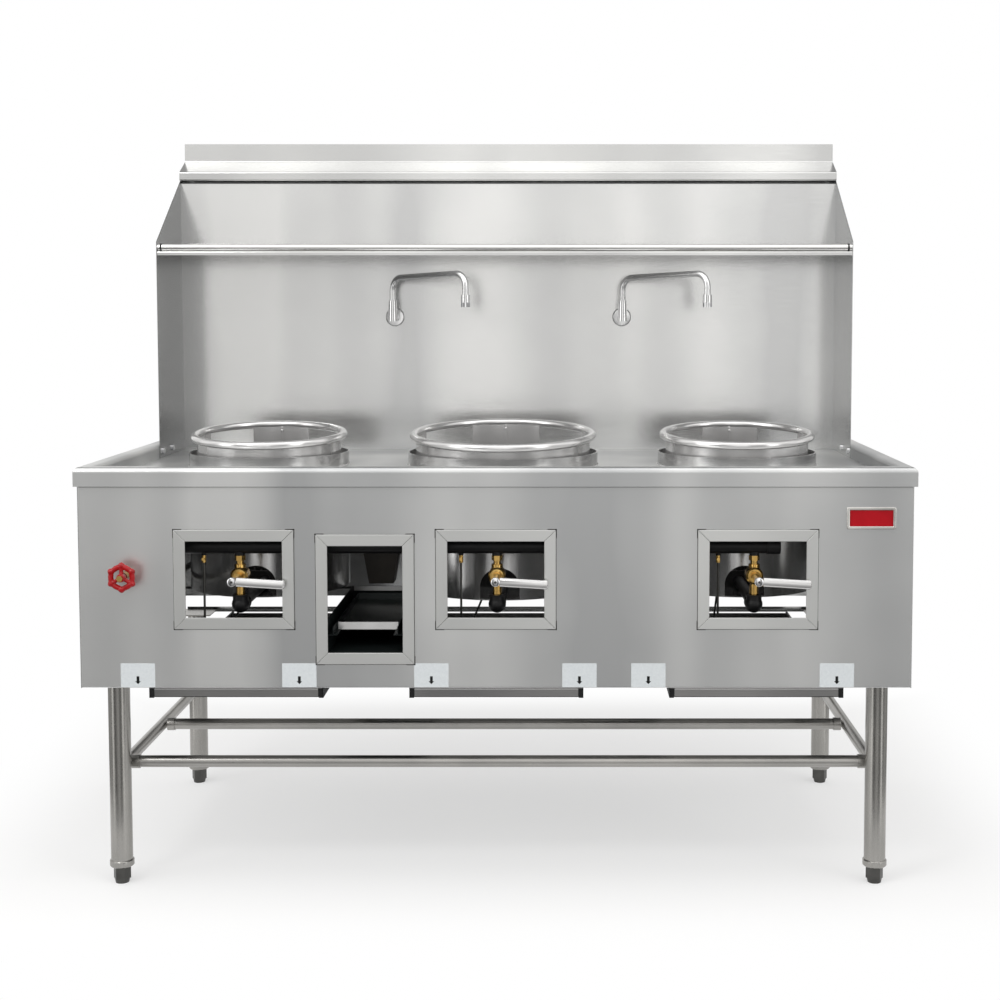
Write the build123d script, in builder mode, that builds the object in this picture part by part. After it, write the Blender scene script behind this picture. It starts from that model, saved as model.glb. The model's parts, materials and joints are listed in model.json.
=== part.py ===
"""Three-chamber gas wok range with a flue riser, overshelf and two swing spouts.

Millimetres, +X to the operator's right, +Y to the back, +Z up from the floor.
"""

import os
from math import cos, radians, sin, tan

from build123d import *

os.makedirs("parts", exist_ok=True)

# ---- overall sizes -------------------------------------------------------
range_width = 1829
range_depth = 900
range_height = 1736
rail_height = 950
handwheel_reach = 48  # front of the handwheel, ahead of the rail
inlet_reach = 28  # gas inlet, behind the back panel

# ---- sheet metal ---------------------------------------------------------
sheet = 1.5
deck_sheet = 2
bend_radius = 4
flange_depth = 20
top_flange_depth = 50
weld_gap = 0.2  # between pieces that are welded or pressed together
seat_gap = 0.3  # under a piece that lifts or slides
running_gap = 0.05  # round a shaft in its bore
cut_margin = 1  # how far a cutting shape runs past the metal

# ---- rail and deck -------------------------------------------------------
rail_width = 40
rail_corner = 12
apron_height = 42
deck_drop = 35
panel_setback = 7
body_bottom = 465

# ---- riser, wings, shelf and flue cap --------------------------------------
riser_depth = 60  # splash panel to the back of the range
wing_depth = 260
wing_above_shelf = 24
lip_height = 22
lip_projection = 8
flue_slot = 8  # open height between the splash panel and the flue cap's lip
cap_flange_height = 48
cap_rise = 33  # lip to crease
shelf_height = 1436
shelf_hem = 9
shelf_tube_radius = 9
shelf_tube_wall = 1.5
shelf_tube_inset = 1
shelf_inset = 2
wing_bolt_radius = 5
wing_bolt_head_radius = 8
wing_bolt_head = 4
wing_bolt_tail = 4
wing_bolt_margin = 30
wing_bolt_spacing = 95

# ---- chambers, wok rings and burners ---------------------------------------
chamber_spacing = 570
chamber_setback = 443
side_chamber_radius = 192
centre_chamber_radius = 230.5
chamber_wall = 3
chamber_rise = 31
chamber_bottom = 620
ledge_drop = 42
ledge_width = 32
ring_tube_radius = 9.5
ring_inset = 4
ring_tilt = 4
ring_rise = 40  # middle of the ring tube above the chamber's top edge
skirt_inset = 19
skirt_wall = 2.5
skirt_half_angle = 112
back_plate_half_angle = 24
arch_width = 92
arch_height = 72
burner_radius = 78
burner_height = 34
burner_lip = 6
burner_rim = 9
inner_jet_circle = 25
outer_jet_circle = 50
jet_radius = 6
jet_height = 26
floor_hole_radius = 70

# ---- gas line ------------------------------------------------------------
valve_setback = 75
manifold_height = 768
manifold_radius = 16.7
manifold_overrun = 57  # past the right chamber
inlet_inset = 57  # inlet pipe's axis in from the cabinet's left side
manifold_bend = 29.5
manifold_bend_run = 1  # straight pipe before the bend
pipe_wall = 3
inlet_thread_radius = 16
inlet_thread_length = 25
inlet_hole_gap = 2
manifold_cap_wall = 2
manifold_cap_length = 30
boss_radius = 11
boss_drop = 4
pilot_boss_radius = 5.5
valve_height = 703
valve_body_radius = 19
valve_body_length = 34
valve_body_chamfer = 4
valve_neck_radius = 8.3
valve_nut_radius = 12
valve_nut_height = 11
valve_shoulder_radius = 12.5
valve_shoulder_rise = 6
valve_tail_radius = 9.8
valve_tail_height = 22
bonnet_radius = 9
bonnet_length = 18
feed_height = 638
feed_radius = 13.4
elbow_radius = 19.5
elbow_collar_radius = 17
elbow_rise = 2
elbow_socket = 8
feed_overlap = 1
pilot_offset = 80
pilot_radius = 5
pilot_height = 16
pilot_spud_radius = 3.5
pilot_spud_length = 9
pilot_tube_radius = 2.5
pilot_tube_bend = 18
pilot_tube_level = 530  # the tube's low run, under the chamber
pilot_tube_run = 150
pilot_tube_entry = 45  # left of the burner's middle
pilot_tube_riser = 23

# ---- levers and handwheel ---------------------------------------------------
lever_reach = 14  # lever's middle ahead of the rail
lever_length = 114
lever_droop = 3.5
lever_grip_height = 20
lever_grip_depth = 13
lever_neck = 9.5
lever_neck_overlap = 4
lever_end_chamfer = 3
lever_hub_radius = 9.5
lever_hub_length = 11
lever_stem_radius = 4
handwheel_inset = 103.5  # handwheel axis in from the cabinet side
handwheel_height = 715
handwheel_radius = 32.5
handwheel_thickness = 11
handwheel_hub_radius = 10
handwheel_hub_length = 18
handwheel_nut_radius = 7
handwheel_nut_height = 6
handwheel_lobe_radius = 6
handwheel_disc_radius = 27.5
handwheel_edge = 2
handwheel_dish_radius = 21.5
handwheel_dish_depth = 3
handwheel_slot_inner = 12
handwheel_slot_outer = 21
handwheel_slot_angle = 76
handwheel_slot_turn = 30  # first slot's middle, from straight right
handwheel_slots = 3
handwheel_lobes = 6
water_valve_radius = 13
water_valve_height = 44
water_thread_radius = 10.5
water_thread_length = 22
water_inlet_height = 640
water_bonnet_radius = 15
water_bonnet_length = 24
stem_depth = 30  # the handwheel stem's end, ahead of the valve's middle
handwheel_hub_gap = 4
water_pipe_radius = 8
water_pipe_bend = 30

# ---- windows ---------------------------------------------------------------
window_width = 262
window_height = 218.6
window_level = 704.3
storage_x = -285
storage_width = 214.5
storage_height = 286
storage_level = 660.5
strip_width = 25.4
strip_thickness = 2.5
mitre_gap = 0.6
frame_overlap = 3  # panel opening is this much larger than the frame's

# ---- drip trays, storage tray and chute ---------------------------------------
tray_width = 378
tray_height = 21
tray_setback = 15
tray_back_inset = 37
tray_wall = 1.2
runner_wall = 1.5
runner_lip = 10
storage_tray_width = 139
storage_tray_level = 583
storage_tray_height = 17
storage_tray_setback = 60
storage_tray_length = 361
storage_bay_rise = 17  # the bay's walls above the storage tray
chute_duct = 90
chute_outlet = 58
chute_shoulder = 745
chute_bottom = 642
chute_setback = 343
drain_radius = 36

# ---- back opening and lower frame ----------------------------------------------
back_gap_top = 508
back_lip = 20
crossmember_depth = 24
crossmember_height = 10
leg_radius = 24.15
leg_wall = 2
leg_inset = 57.5  # leg axis in from the cabinet side
front_leg_setback = 95
back_leg_inset = 50
leg_plate = 3
leg_plate_half = 45
collar_radius = 27
collar_height = 16
collar_edge = 2.4
foot_height = 38
foot_radius = 19.5
foot_pad_radius = 15
foot_pad_flare = 2
foot_pad_height = 9.5
foot_stem_radius = 8
foot_stem_length = 45
stretcher_radius = 13.35
stretcher_height = 262
front_stretcher_setback = 146
back_stretcher_setback = 470
stretcher_collar = 2.5
stretcher_collar_width = 10
stretcher_sleeve = 18

# ---- faucets -------------------------------------------------------------------
faucet_x = 303.5
faucet_height = 1271
supply_overrun = 20  # water pipe past the right faucet
faucet_standoff = 60
faucet_flange_radius = 25
faucet_flange_thickness = 6
faucet_stub_radius = 9
faucet_body_drop = 11
faucet_body_height = 55
faucet_body_radius = 13
faucet_neck_radius = 10.5
spout_radius = 8
spout_wall = 1
spout_socket = 22
spout_reach = 290
spout_turn = 45  # from straight forward, towards the right
spout_arm_height = 1373
spout_arm_rise = 9
spout_bend = 34
spout_tip_height = 1308
aerator_radius = 11.5
aerator_height = 20

# ---- places worked out from the sizes ----------------------------------------------
front = (handwheel_reach - range_depth - inlet_reach) / 2
back = front + range_depth
deck_top = rail_height - deck_drop
deck_under = deck_top - deck_sheet
apron_bottom = rail_height - apron_height
rail_inner_half = range_width / 2 - rail_width
cabinet_half = range_width / 2 - panel_setback
cabinet_front = front + panel_setback
crease_height = range_height - cap_flange_height
lip_top = crease_height - cap_rise
lip_bottom = lip_top - lip_height
splash_front = back - riser_depth
wing_front = splash_front - wing_depth
wing_front_top = shelf_height + wing_above_shelf
lip_front = splash_front - lip_projection
chamber_y = front + chamber_setback
chamber_top = deck_top + chamber_rise
ledge_height = chamber_top - ledge_drop
valve_y = front + valve_setback
lever_y = front - lever_reach
wheel_back = front - handwheel_reach + handwheel_hub_length + handwheel_nut_height
window_inner_width = window_width - 2 * strip_width
window_inner_height = window_height - 2 * strip_width
storage_inner_width = storage_width - 2 * strip_width
storage_inner_height = storage_height - 2 * strip_width
leg_x = cabinet_half - leg_inset
back_leg_y = back - back_leg_inset
handwheel_x = -(cabinet_half - handwheel_inset)
inlet_x = -(cabinet_half - inlet_inset)
manifold_left = inlet_x + manifold_bend + manifold_bend_run
manifold_right = chamber_spacing + manifold_overrun
tray_length = range_depth - tray_setback - tray_back_inset
tray_top = body_bottom - 1
tray_bottom = tray_top - tray_height
chamber_places = (
    ("left", -chamber_spacing, side_chamber_radius),
    ("centre", 0, centre_chamber_radius),
    ("right", chamber_spacing, side_chamber_radius),
)


def save(part, name):
    """Label one piece and write its STEP file."""
    part.label = name
    export_step(part, "parts/" + name + ".step")


def facing_front(x, y, z):
    """A plane that looks forward (towards -Y), with its own y upwards."""
    return Plane(origin=(x, y, z), x_dir=(1, 0, 0), z_dir=(0, -1, 0))


def sideways(side, x, y, z):
    """A plane that looks out to one side, left for -1 and right for 1."""
    return Plane(origin=(side * x, y, z), z_dir=(side, 0, 0))


def folded_section(points, thickness):
    """The section of a folded sheet, whose metal lies to the right of the points."""
    with BuildSketch() as section:
        with BuildLine():
            FilletPolyline(*points, radius=bend_radius)
            offset(amount=thickness, side=Side.RIGHT)
        make_face()
    return section.sketch


def rod(start, axis, radius, length):
    """A cylinder that starts at a point and runs along an axis."""
    with Locations(Plane(origin=start, z_dir=axis)):
        Cylinder(radius, length, align=(Align.CENTER, Align.CENTER, Align.MIN))


# ==== top deck: drip rail on three sides and the sunken deck inside it ====

def rail_band(wall, height, corner):
    """The rail's outline drawn in by a wall, with its upper edges rounded."""
    with BuildPart() as band:
        with BuildSketch(Plane.XY.offset(apron_bottom)):
            with Locations((0, (front + back) / 2 + wall)):
                Rectangle(range_width - 2 * wall, range_depth)
            with Locations((0, front + rail_width - wall + range_depth)):
                Rectangle(2 * (rail_inner_half + wall), 2 * range_depth, mode=Mode.SUBTRACT)
        extrude(amount=height)
        top = band.faces().sort_by(Axis.Z)[-1]
        fillet(top.edges().filter_by(lambda edge: edge.center().Y < back - wall - 1), corner)
    return band.part


with BuildPart() as top_deck:
    add(rail_band(0, apron_height, rail_corner))
    add(rail_band(deck_sheet, apron_height - deck_sheet, rail_corner - deck_sheet), mode=Mode.SUBTRACT)
    with BuildSketch(Plane.XY.offset(apron_bottom)):
        with Locations((0, front + deck_sheet + range_depth)):
            Rectangle(range_width - 2 * deck_sheet, 2 * range_depth)
    extrude(amount=deck_under - apron_bottom, mode=Mode.SUBTRACT)
    deck_front = front + rail_width - deck_sheet
    deck_back = splash_front + sheet
    with BuildSketch(Plane.XY.offset(deck_under)):
        with Locations((0, (deck_front + deck_back) / 2)):
            Rectangle(2 * rail_inner_half + deck_sheet, deck_back - deck_front)
        for name, x, radius in chamber_places:
            with Locations((x, chamber_y)):
                Circle(radius + weld_gap, mode=Mode.SUBTRACT)
        with Locations((storage_x, front + chute_setback)):
            Circle(drain_radius, mode=Mode.SUBTRACT)
    extrude(amount=deck_sheet)
    wing_bolt_z = (deck_top + rail_height) / 2
    for side in (-1, 1):
        for step in (0, 1):
            bolt_y = wing_front + wing_bolt_margin + step * wing_bolt_spacing
            with BuildSketch(sideways(side, rail_inner_half - cut_margin, bolt_y, wing_bolt_z)):
                Circle(wing_bolt_radius + running_gap)
            extrude(amount=deck_sheet + 2 * cut_margin, mode=Mode.SUBTRACT)
save(top_deck.part, "top_deck")

# ==== cabinet panels ====

with BuildPart() as front_panel:
    with BuildSketch(Plane.YZ):
        add(folded_section(
            (
                (cabinet_front + flange_depth, body_bottom),
                (cabinet_front, body_bottom),
                (cabinet_front, deck_under),
                (cabinet_front + top_flange_depth, deck_under),
            ),
            sheet,
        ))
    extrude(amount=cabinet_half - sheet, both=True)
    for x in (-chamber_spacing, 0, chamber_spacing):
        with BuildSketch(facing_front(x, cabinet_front, window_level)):
            Rectangle(window_inner_width + 2 * frame_overlap, window_inner_height + 2 * frame_overlap)
        extrude(amount=-2 * sheet, mode=Mode.SUBTRACT)
    with BuildSketch(facing_front(storage_x, cabinet_front, storage_level)):
        Rectangle(storage_inner_width + 2 * frame_overlap, storage_inner_height + 2 * frame_overlap)
    extrude(amount=-2 * sheet, mode=Mode.SUBTRACT)
    with BuildSketch(facing_front(handwheel_x, cabinet_front, handwheel_height)):
        Circle(bonnet_radius + seat_gap)
    extrude(amount=-2 * sheet, mode=Mode.SUBTRACT)
save(front_panel.part, "front_panel")


def side_panel(side):
    """A cabinet side with a flange along its top and bottom."""
    flange_front = cabinet_front + top_flange_depth + weld_gap
    with BuildPart() as panel:
        with BuildSketch(Plane.XZ.offset(-flange_front)):
            add(folded_section(
                (
                    (side * (cabinet_half - flange_depth), body_bottom if side < 0 else deck_under),
                    (side * cabinet_half, body_bottom if side < 0 else deck_under),
                    (side * cabinet_half, deck_under if side < 0 else body_bottom),
                    (side * (cabinet_half - flange_depth), deck_under if side < 0 else body_bottom),
                ),
                sheet,
            ))
        extrude(amount=-(back - sheet - flange_front))
        with BuildSketch(Plane.YZ.offset(side * cabinet_half)):
            with Locations(((cabinet_front + back) / 2, (body_bottom + deck_under) / 2)):
                Rectangle(range_depth - panel_setback, deck_under - body_bottom - 2 * bend_radius)
        extrude(amount=-side * sheet)
        with BuildSketch(Plane.YZ.offset(side * cabinet_half)):
            with Locations(((cabinet_front + flange_front) / 2, (body_bottom + deck_under) / 2)):
                Rectangle(flange_front - cabinet_front, deck_under - body_bottom)
        extrude(amount=-side * sheet)
    return panel.part


save(side_panel(-1), "side_panel_left")
save(side_panel(1), "side_panel_right")

with BuildPart() as back_panel:
    with BuildSketch(Plane.YZ):
        add(folded_section(
            (
                (back - flange_depth, back_gap_top + back_lip),
                (back - flange_depth, back_gap_top),
                (back, back_gap_top),
                (back, deck_under),
            )[::-1],
            sheet,
        ))
    extrude(amount=cabinet_half - sheet, both=True)
    with BuildSketch(facing_front(inlet_x, back - 2 * sheet, manifold_height)):
        Circle(manifold_radius + inlet_hole_gap)
    extrude(amount=-3 * sheet, mode=Mode.SUBTRACT)
    with BuildSketch(facing_front(handwheel_x, back - 2 * sheet, water_inlet_height)):
        Circle(water_thread_radius + inlet_hole_gap)
    extrude(amount=-3 * sheet, mode=Mode.SUBTRACT)
save(back_panel.part, "back_panel")

with BuildPart() as back_crossmember:
    with BuildSketch(Plane.YZ):
        add(folded_section(
            (
                (back, body_bottom + crossmember_height),
                (back, body_bottom),
                (back - crossmember_depth, body_bottom),
            ),
            sheet,
        ))
    extrude(amount=cabinet_half - flange_depth - weld_gap, both=True)
save(back_crossmember.part, "back_crossmember")

# ==== riser: splash panel, wings, back and flue cap ====

cap_slope = (crease_height - lip_top) / (back - sheet - lip_front)


def cap_underside(y):
    """Height of the flue cap's sloping underside at a depth."""
    drop = sheet * (1 + cap_slope**2) ** 0.5
    return lip_top + (y - lip_front) * cap_slope - drop


with BuildPart() as splash_panel:
    with BuildSketch(Plane.XY.offset(deck_top)):
        with Locations((0, splash_front + sheet / 2)):
            Rectangle(2 * rail_inner_half, sheet)
    extrude(amount=lip_bottom - flue_slot - deck_top)
    for x in (-faucet_x, faucet_x):
        with BuildSketch(facing_front(x, splash_front - sheet, faucet_height)):
            Circle(faucet_stub_radius + weld_gap)
        extrude(amount=-3 * sheet, mode=Mode.SUBTRACT)
save(splash_panel.part, "splash_panel")


def wing(side):
    """A side wing that stands on the deck against the rail's inner wall."""
    with BuildPart() as part:
        with BuildSketch(Plane.YZ.offset(side * rail_inner_half)):
            with BuildLine():
                Polyline(
                    (wing_front, deck_top),
                    (wing_front, wing_front_top),
                    (splash_front, lip_bottom - weld_gap),
                    (splash_front, deck_top),
                    close=True,
                )
            make_face()
        extrude(amount=-side * sheet)
        for step in (0, 1):
            bolt_y = wing_front + wing_bolt_margin + step * wing_bolt_spacing
            with BuildSketch(sideways(side, rail_inner_half - 2 * sheet, bolt_y, wing_bolt_z)):
                Circle(wing_bolt_radius + running_gap)
            extrude(amount=3 * sheet, mode=Mode.SUBTRACT)
    return part.part


save(wing(-1), "wing_left")
save(wing(1), "wing_right")

with BuildPart() as wing_bolts:
    for side in (-1, 1):
        for step in (0, 1):
            bolt_y = wing_front + wing_bolt_margin + step * wing_bolt_spacing
            head_seat = (side * (rail_inner_half - sheet), bolt_y, wing_bolt_z)
            rod(head_seat, (-side, 0, 0), wing_bolt_head_radius, wing_bolt_head)
            rod(head_seat, (side, 0, 0), wing_bolt_radius, sheet + deck_sheet + wing_bolt_tail)
save(wing_bolts.part, "wing_bolts")

with BuildPart() as riser_back:
    with BuildSketch(Plane.XY.offset(deck_under)):
        with Locations((0, (deck_back + back) / 2)):
            Rectangle(2 * rail_inner_half, back - deck_back)
        with Locations((0, (deck_back + back) / 2 - sheet)):
            Rectangle(2 * (rail_inner_half - sheet), back - deck_back, mode=Mode.SUBTRACT)
    extrude(amount=crease_height - deck_under)
    with BuildSketch(Plane.YZ):
        with BuildLine():
            Polyline(
                (lip_front, cap_underside(lip_front) - weld_gap),
                (back + cut_margin, cap_underside(back + cut_margin) - weld_gap),
                (back + cut_margin, range_height),
                (lip_front, range_height),
                close=True,
            )
        make_face()
    extrude(amount=range_width, both=True, mode=Mode.SUBTRACT)
save(riser_back.part, "riser_back")

with BuildPart() as flue_cap:
    with BuildSketch(Plane.YZ):
        add(folded_section(
            (
                (splash_front - weld_gap, lip_bottom),
                (lip_front, lip_bottom),
                (lip_front, lip_top),
                (back - sheet, crease_height),
                (back - sheet, range_height),
            ),
            sheet,
        ))
    extrude(amount=rail_inner_half, both=True)
save(flue_cap.part, "flue_cap")

# ==== overshelf ====

shelf_half = rail_inner_half - sheet
tube_y = wing_front + shelf_tube_radius + shelf_tube_inset
tube_z = shelf_height + sheet + shelf_tube_radius

with BuildPart() as shelf_plate:
    with BuildSketch(Plane.YZ):
        add(folded_section(
            (
                (wing_front + shelf_inset, shelf_height - shelf_hem),
                (wing_front + shelf_inset, shelf_height + sheet),
                (splash_front, shelf_height + sheet),
            ),
            sheet,
        ))
    extrude(amount=shelf_half, both=True)
save(shelf_plate.part, "shelf_plate")

with BuildPart() as shelf_tube:
    with BuildSketch(Plane(origin=(-shelf_half, tube_y, tube_z), z_dir=(1, 0, 0))):
        Circle(shelf_tube_radius)
        Circle(shelf_tube_radius - shelf_tube_wall, mode=Mode.SUBTRACT)
    extrude(amount=2 * shelf_half)
save(shelf_tube.part, "shelf_tube")

# ==== chambers, burners and wok rings ====


def chamber(x, radius):
    """A fire chamber: a drum through the deck, with a ledge and an arched mouth."""
    inner = radius - chamber_wall
    with BuildPart() as drum:
        with BuildSketch(Plane.XY.offset(chamber_bottom)):
            with Locations((x, chamber_y)):
                Circle(radius)
                Circle(floor_hole_radius, mode=Mode.SUBTRACT)
        extrude(amount=chamber_wall)
        with BuildSketch(Plane.XY.offset(chamber_bottom)):
            with Locations((x, chamber_y)):
                Circle(radius)
                Circle(inner, mode=Mode.SUBTRACT)
        extrude(amount=chamber_top - chamber_bottom)
        with BuildSketch(Plane.XY.offset(ledge_height)):
            with Locations((x, chamber_y)):
                Circle(radius)
                Circle(inner - ledge_width, mode=Mode.SUBTRACT)
        extrude(amount=-chamber_wall)
        with BuildSketch(facing_front(x, chamber_y, chamber_bottom + chamber_wall)):
            with Locations((0, (arch_height - arch_width / 2) / 2)):
                Rectangle(arch_width, arch_height - arch_width / 2)
            with Locations((0, arch_height - arch_width / 2)):
                Circle(arch_width / 2)
            with Locations((0, -arch_width)):
                Rectangle(2 * arch_width, 2 * arch_width, mode=Mode.SUBTRACT)
        extrude(amount=2 * radius, mode=Mode.SUBTRACT)
    return drum.part


def wok_ring(x, radius):
    """A leaning tube ring on a skirt that drops inside the chamber's wall."""
    skirt_radius = radius - skirt_inset
    ring_radius = radius - ring_inset - ring_tube_radius
    ring_z = chamber_top + ring_rise
    lean = radians(ring_tilt)
    ring_plane = Plane(origin=(x, chamber_y, ring_z), z_dir=(0, -sin(lean), cos(lean)))
    far = 2 * radius
    with BuildPart() as ring:
        with BuildSketch(Plane.XY.offset(ledge_height + seat_gap)):
            with Locations((x, chamber_y)):
                Circle(skirt_radius)
                Circle(skirt_radius - skirt_wall, mode=Mode.SUBTRACT)
                for side in (-1, 1):
                    gap_start = radians(skirt_half_angle)
                    gap_end = radians(180 - back_plate_half_angle)
                    Polygon(
                        (0, 0),
                        (side * far * sin(gap_start), -far * cos(gap_start)),
                        (side * far * sin(gap_end), -far * cos(gap_end)),
                        align=None,
                        mode=Mode.SUBTRACT,
                    )
        extrude(amount=ring_z + radius * tan(lean) - ledge_height)
        split(bisect_by=ring_plane, keep=Keep.BOTTOM)
        with Locations(ring_plane):
            Torus(ring_radius, ring_tube_radius)
    return ring.part


for name, x, radius in chamber_places:
    save(chamber(x, radius), "chamber_" + name)
    save(wok_ring(x, radius), "wok_ring_" + name)

with BuildPart() as burners:
    burner_base = chamber_bottom + chamber_wall
    for name, x, radius in chamber_places:
        with BuildSketch(Plane.XY.offset(burner_base)):
            with Locations((x, chamber_y)):
                Circle(burner_radius)
        extrude(amount=burner_height)
        with BuildSketch(Plane.XY.offset(burner_base + burner_height)):
            with Locations((x, chamber_y)):
                Circle(burner_radius)
                Circle(burner_radius - burner_rim, mode=Mode.SUBTRACT)
        extrude(amount=burner_lip)
        with BuildSketch(Plane.XY.offset(burner_base + burner_height)):
            with Locations((x, chamber_y)):
                RegularPolygon(jet_radius, 6)
                with PolarLocations(inner_jet_circle, 6):
                    RegularPolygon(jet_radius, 6)
                with PolarLocations(outer_jet_circle, 12):
                    RegularPolygon(jet_radius, 6)
        extrude(amount=jet_height)
save(burners.part, "burners")

# ==== gas line ====

boss_bottom = manifold_height - manifold_radius - boss_drop

with BuildPart() as gas_manifold:
    rod((manifold_left, valve_y, manifold_height), (1, 0, 0), manifold_radius, manifold_right - manifold_left)
    for name, x, radius in chamber_places:
        boss_height = manifold_radius + boss_drop
        rod((x, valve_y, boss_bottom), (0, 0, 1), boss_radius, boss_height)
        rod((x - pilot_offset, valve_y, boss_bottom), (0, 0, 1), pilot_boss_radius, boss_height)
    with BuildSketch(Plane(origin=(manifold_right, valve_y, manifold_height), z_dir=(-1, 0, 0))):
        Circle(manifold_radius + manifold_cap_wall)
    extrude(amount=manifold_cap_length)
save(gas_manifold.part, "gas_manifold")

with BuildPart() as gas_inlet_pipe:
    with BuildLine() as inlet_route:
        FilletPolyline(
            (manifold_left, valve_y, manifold_height),
            (inlet_x, valve_y, manifold_height),
            (inlet_x, back + inlet_reach - inlet_thread_length, manifold_height),
            radius=manifold_bend,
        )
    with BuildSketch(Plane(origin=inlet_route.line @ 0, z_dir=inlet_route.line % 0)):
        Circle(manifold_radius)
        Circle(manifold_radius - pipe_wall, mode=Mode.SUBTRACT)
    sweep()
    with BuildSketch(facing_front(inlet_x, back + inlet_reach, manifold_height)):
        Circle(inlet_thread_radius)
        Circle(manifold_radius - pipe_wall, mode=Mode.SUBTRACT)
    extrude(amount=inlet_thread_length)
save(gas_inlet_pipe.part, "gas_inlet_pipe")


def gas_valve(x):
    """A brass cock that hangs from the manifold, with its bonnet to the front."""
    nut_bottom = boss_bottom - valve_nut_height
    elbow_top = feed_height + elbow_radius + elbow_rise
    with BuildPart() as valve:
        with BuildSketch(Plane.XY.offset(boss_bottom)):
            with Locations((x, valve_y)):
                RegularPolygon(valve_nut_radius, 6)
        extrude(amount=-valve_nut_height)
        rod((x, valve_y, nut_bottom), (0, 0, -1), valve_neck_radius, nut_bottom - elbow_top)
        rod((x, valve_y, elbow_top), (0, 0, 1), valve_tail_radius, valve_tail_height)
        with BuildSketch(facing_front(x, valve_y + valve_body_length / 2, valve_height)):
            Circle(valve_body_radius)
        extrude(amount=valve_body_length)
        chamfer(valve.edges().filter_by(GeomType.CIRCLE).sort_by(Axis.Y)[0], valve_body_chamfer)
        shoulder_height = valve_body_radius + valve_shoulder_rise
        rod((x, valve_y, valve_height), (0, 0, 1), valve_shoulder_radius, shoulder_height)
        body_front = valve_y - valve_body_length / 2
        rod((x, body_front, valve_height), (0, -1, 0), bonnet_radius, bonnet_length)
        with BuildSketch(facing_front(x, body_front, valve_height)):
            Circle(lever_stem_radius + running_gap)
        extrude(amount=bonnet_length, mode=Mode.SUBTRACT)
    return valve.part


def valve_lever(x):
    """A stem, a round hub and a flattened tube handle that droops a little."""
    stem_end = valve_y - valve_body_length / 2 - seat_gap
    hub_back = lever_y + lever_hub_length / 2
    droop = radians(lever_droop)
    along = (cos(droop), 0, -sin(droop))
    with BuildPart() as lever:
        rod((x, stem_end, valve_height), (0, -1, 0), lever_stem_radius, stem_end - hub_back)
        rod((x, hub_back, valve_height), (0, -1, 0), lever_hub_radius, lever_hub_length)
        with BuildSketch(Plane(origin=(x, lever_y, valve_height), x_dir=(0, 1, 0), z_dir=along)):
            Rectangle(lever_hub_length / 2, lever_hub_radius)
        extrude(amount=lever_neck + lever_neck_overlap)
        grip_start = (x + lever_neck * along[0], lever_y, valve_height + lever_neck * along[2])
        with BuildSketch(Plane(origin=grip_start, x_dir=(0, 1, 0), z_dir=along)):
            Ellipse(lever_grip_depth / 2, lever_grip_height / 2)
        extrude(amount=lever_length - lever_neck)
        end = lever.faces().sort_by(Axis.X)[-1]
        chamfer(end.edges(), lever_end_chamfer)
    return lever.part


for name, x, radius in chamber_places:
    save(gas_valve(x), "gas_valve_" + name)
    save(valve_lever(x), "valve_lever_" + name)

with BuildPart() as burner_feeds:
    for name, x, radius in chamber_places:
        with Locations((x, valve_y, feed_height)):
            Sphere(elbow_radius)
        rod((x, valve_y, feed_height), (0, 0, 1), elbow_collar_radius, elbow_radius + elbow_rise)
        rod((x, valve_y, feed_height), (0, 1, 0), elbow_collar_radius, elbow_radius + elbow_socket)
        burner_face = chamber_y - burner_radius + feed_overlap
        rod((x, valve_y, feed_height), (0, 1, 0), feed_radius, burner_face - valve_y)
        with BuildSketch(Plane.XY.offset(chamber_bottom + chamber_wall)):
            with Locations((x, chamber_y)):
                Circle(burner_radius + weld_gap)
        extrude(amount=burner_height + burner_lip, mode=Mode.SUBTRACT)
save(burner_feeds.part, "burner_feeds")

with BuildPart() as pilot_valves:
    for name, x, radius in chamber_places:
        rod((x - pilot_offset, valve_y, boss_bottom), (0, 0, -1), pilot_radius, pilot_height)
        spud_start = (x - pilot_offset, valve_y, boss_bottom - pilot_height / 2)
        rod(spud_start, (0, -1, 0), pilot_spud_radius, pilot_spud_length)
save(pilot_valves.part, "pilot_valves")

with BuildPart() as pilot_tubes:
    for name, x, radius in chamber_places:
        entry = (x - pilot_tube_entry, chamber_y)
        with BuildLine() as pilot_route:
            FilletPolyline(
                (x - pilot_offset, valve_y, boss_bottom - pilot_height),
                (x - pilot_offset, valve_y, pilot_tube_level),
                (x - pilot_offset, valve_y + pilot_tube_run, pilot_tube_level),
                (*entry, burner_base - weld_gap - pilot_tube_riser),
                (*entry, burner_base - weld_gap),
                radius=pilot_tube_bend,
            )
        with BuildSketch(Plane(origin=pilot_route.line @ 0, z_dir=pilot_route.line % 0)):
            Circle(pilot_tube_radius)
        sweep()
save(pilot_tubes.part, "pilot_tubes")

# ==== water valve, its handwheel, the inlet pipe and the supply pipe behind the riser ====

with BuildPart() as water_valve:
    bonnet_end = valve_y - wheel_back - handwheel_hub_gap
    water_valve_foot = handwheel_height - water_valve_height / 2
    rod((handwheel_x, valve_y, water_valve_foot), (0, 0, 1), water_valve_radius, water_valve_height)
    rod((handwheel_x, valve_y, handwheel_height), (0, -1, 0), water_bonnet_radius, water_bonnet_length)
    rod((handwheel_x, valve_y, handwheel_height), (0, -1, 0), bonnet_radius, bonnet_end)
    with BuildSketch(facing_front(handwheel_x, valve_y - stem_depth, handwheel_height)):
        Circle(lever_stem_radius + running_gap)
    extrude(amount=valve_setback, mode=Mode.SUBTRACT)
save(water_valve.part, "water_valve")

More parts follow.
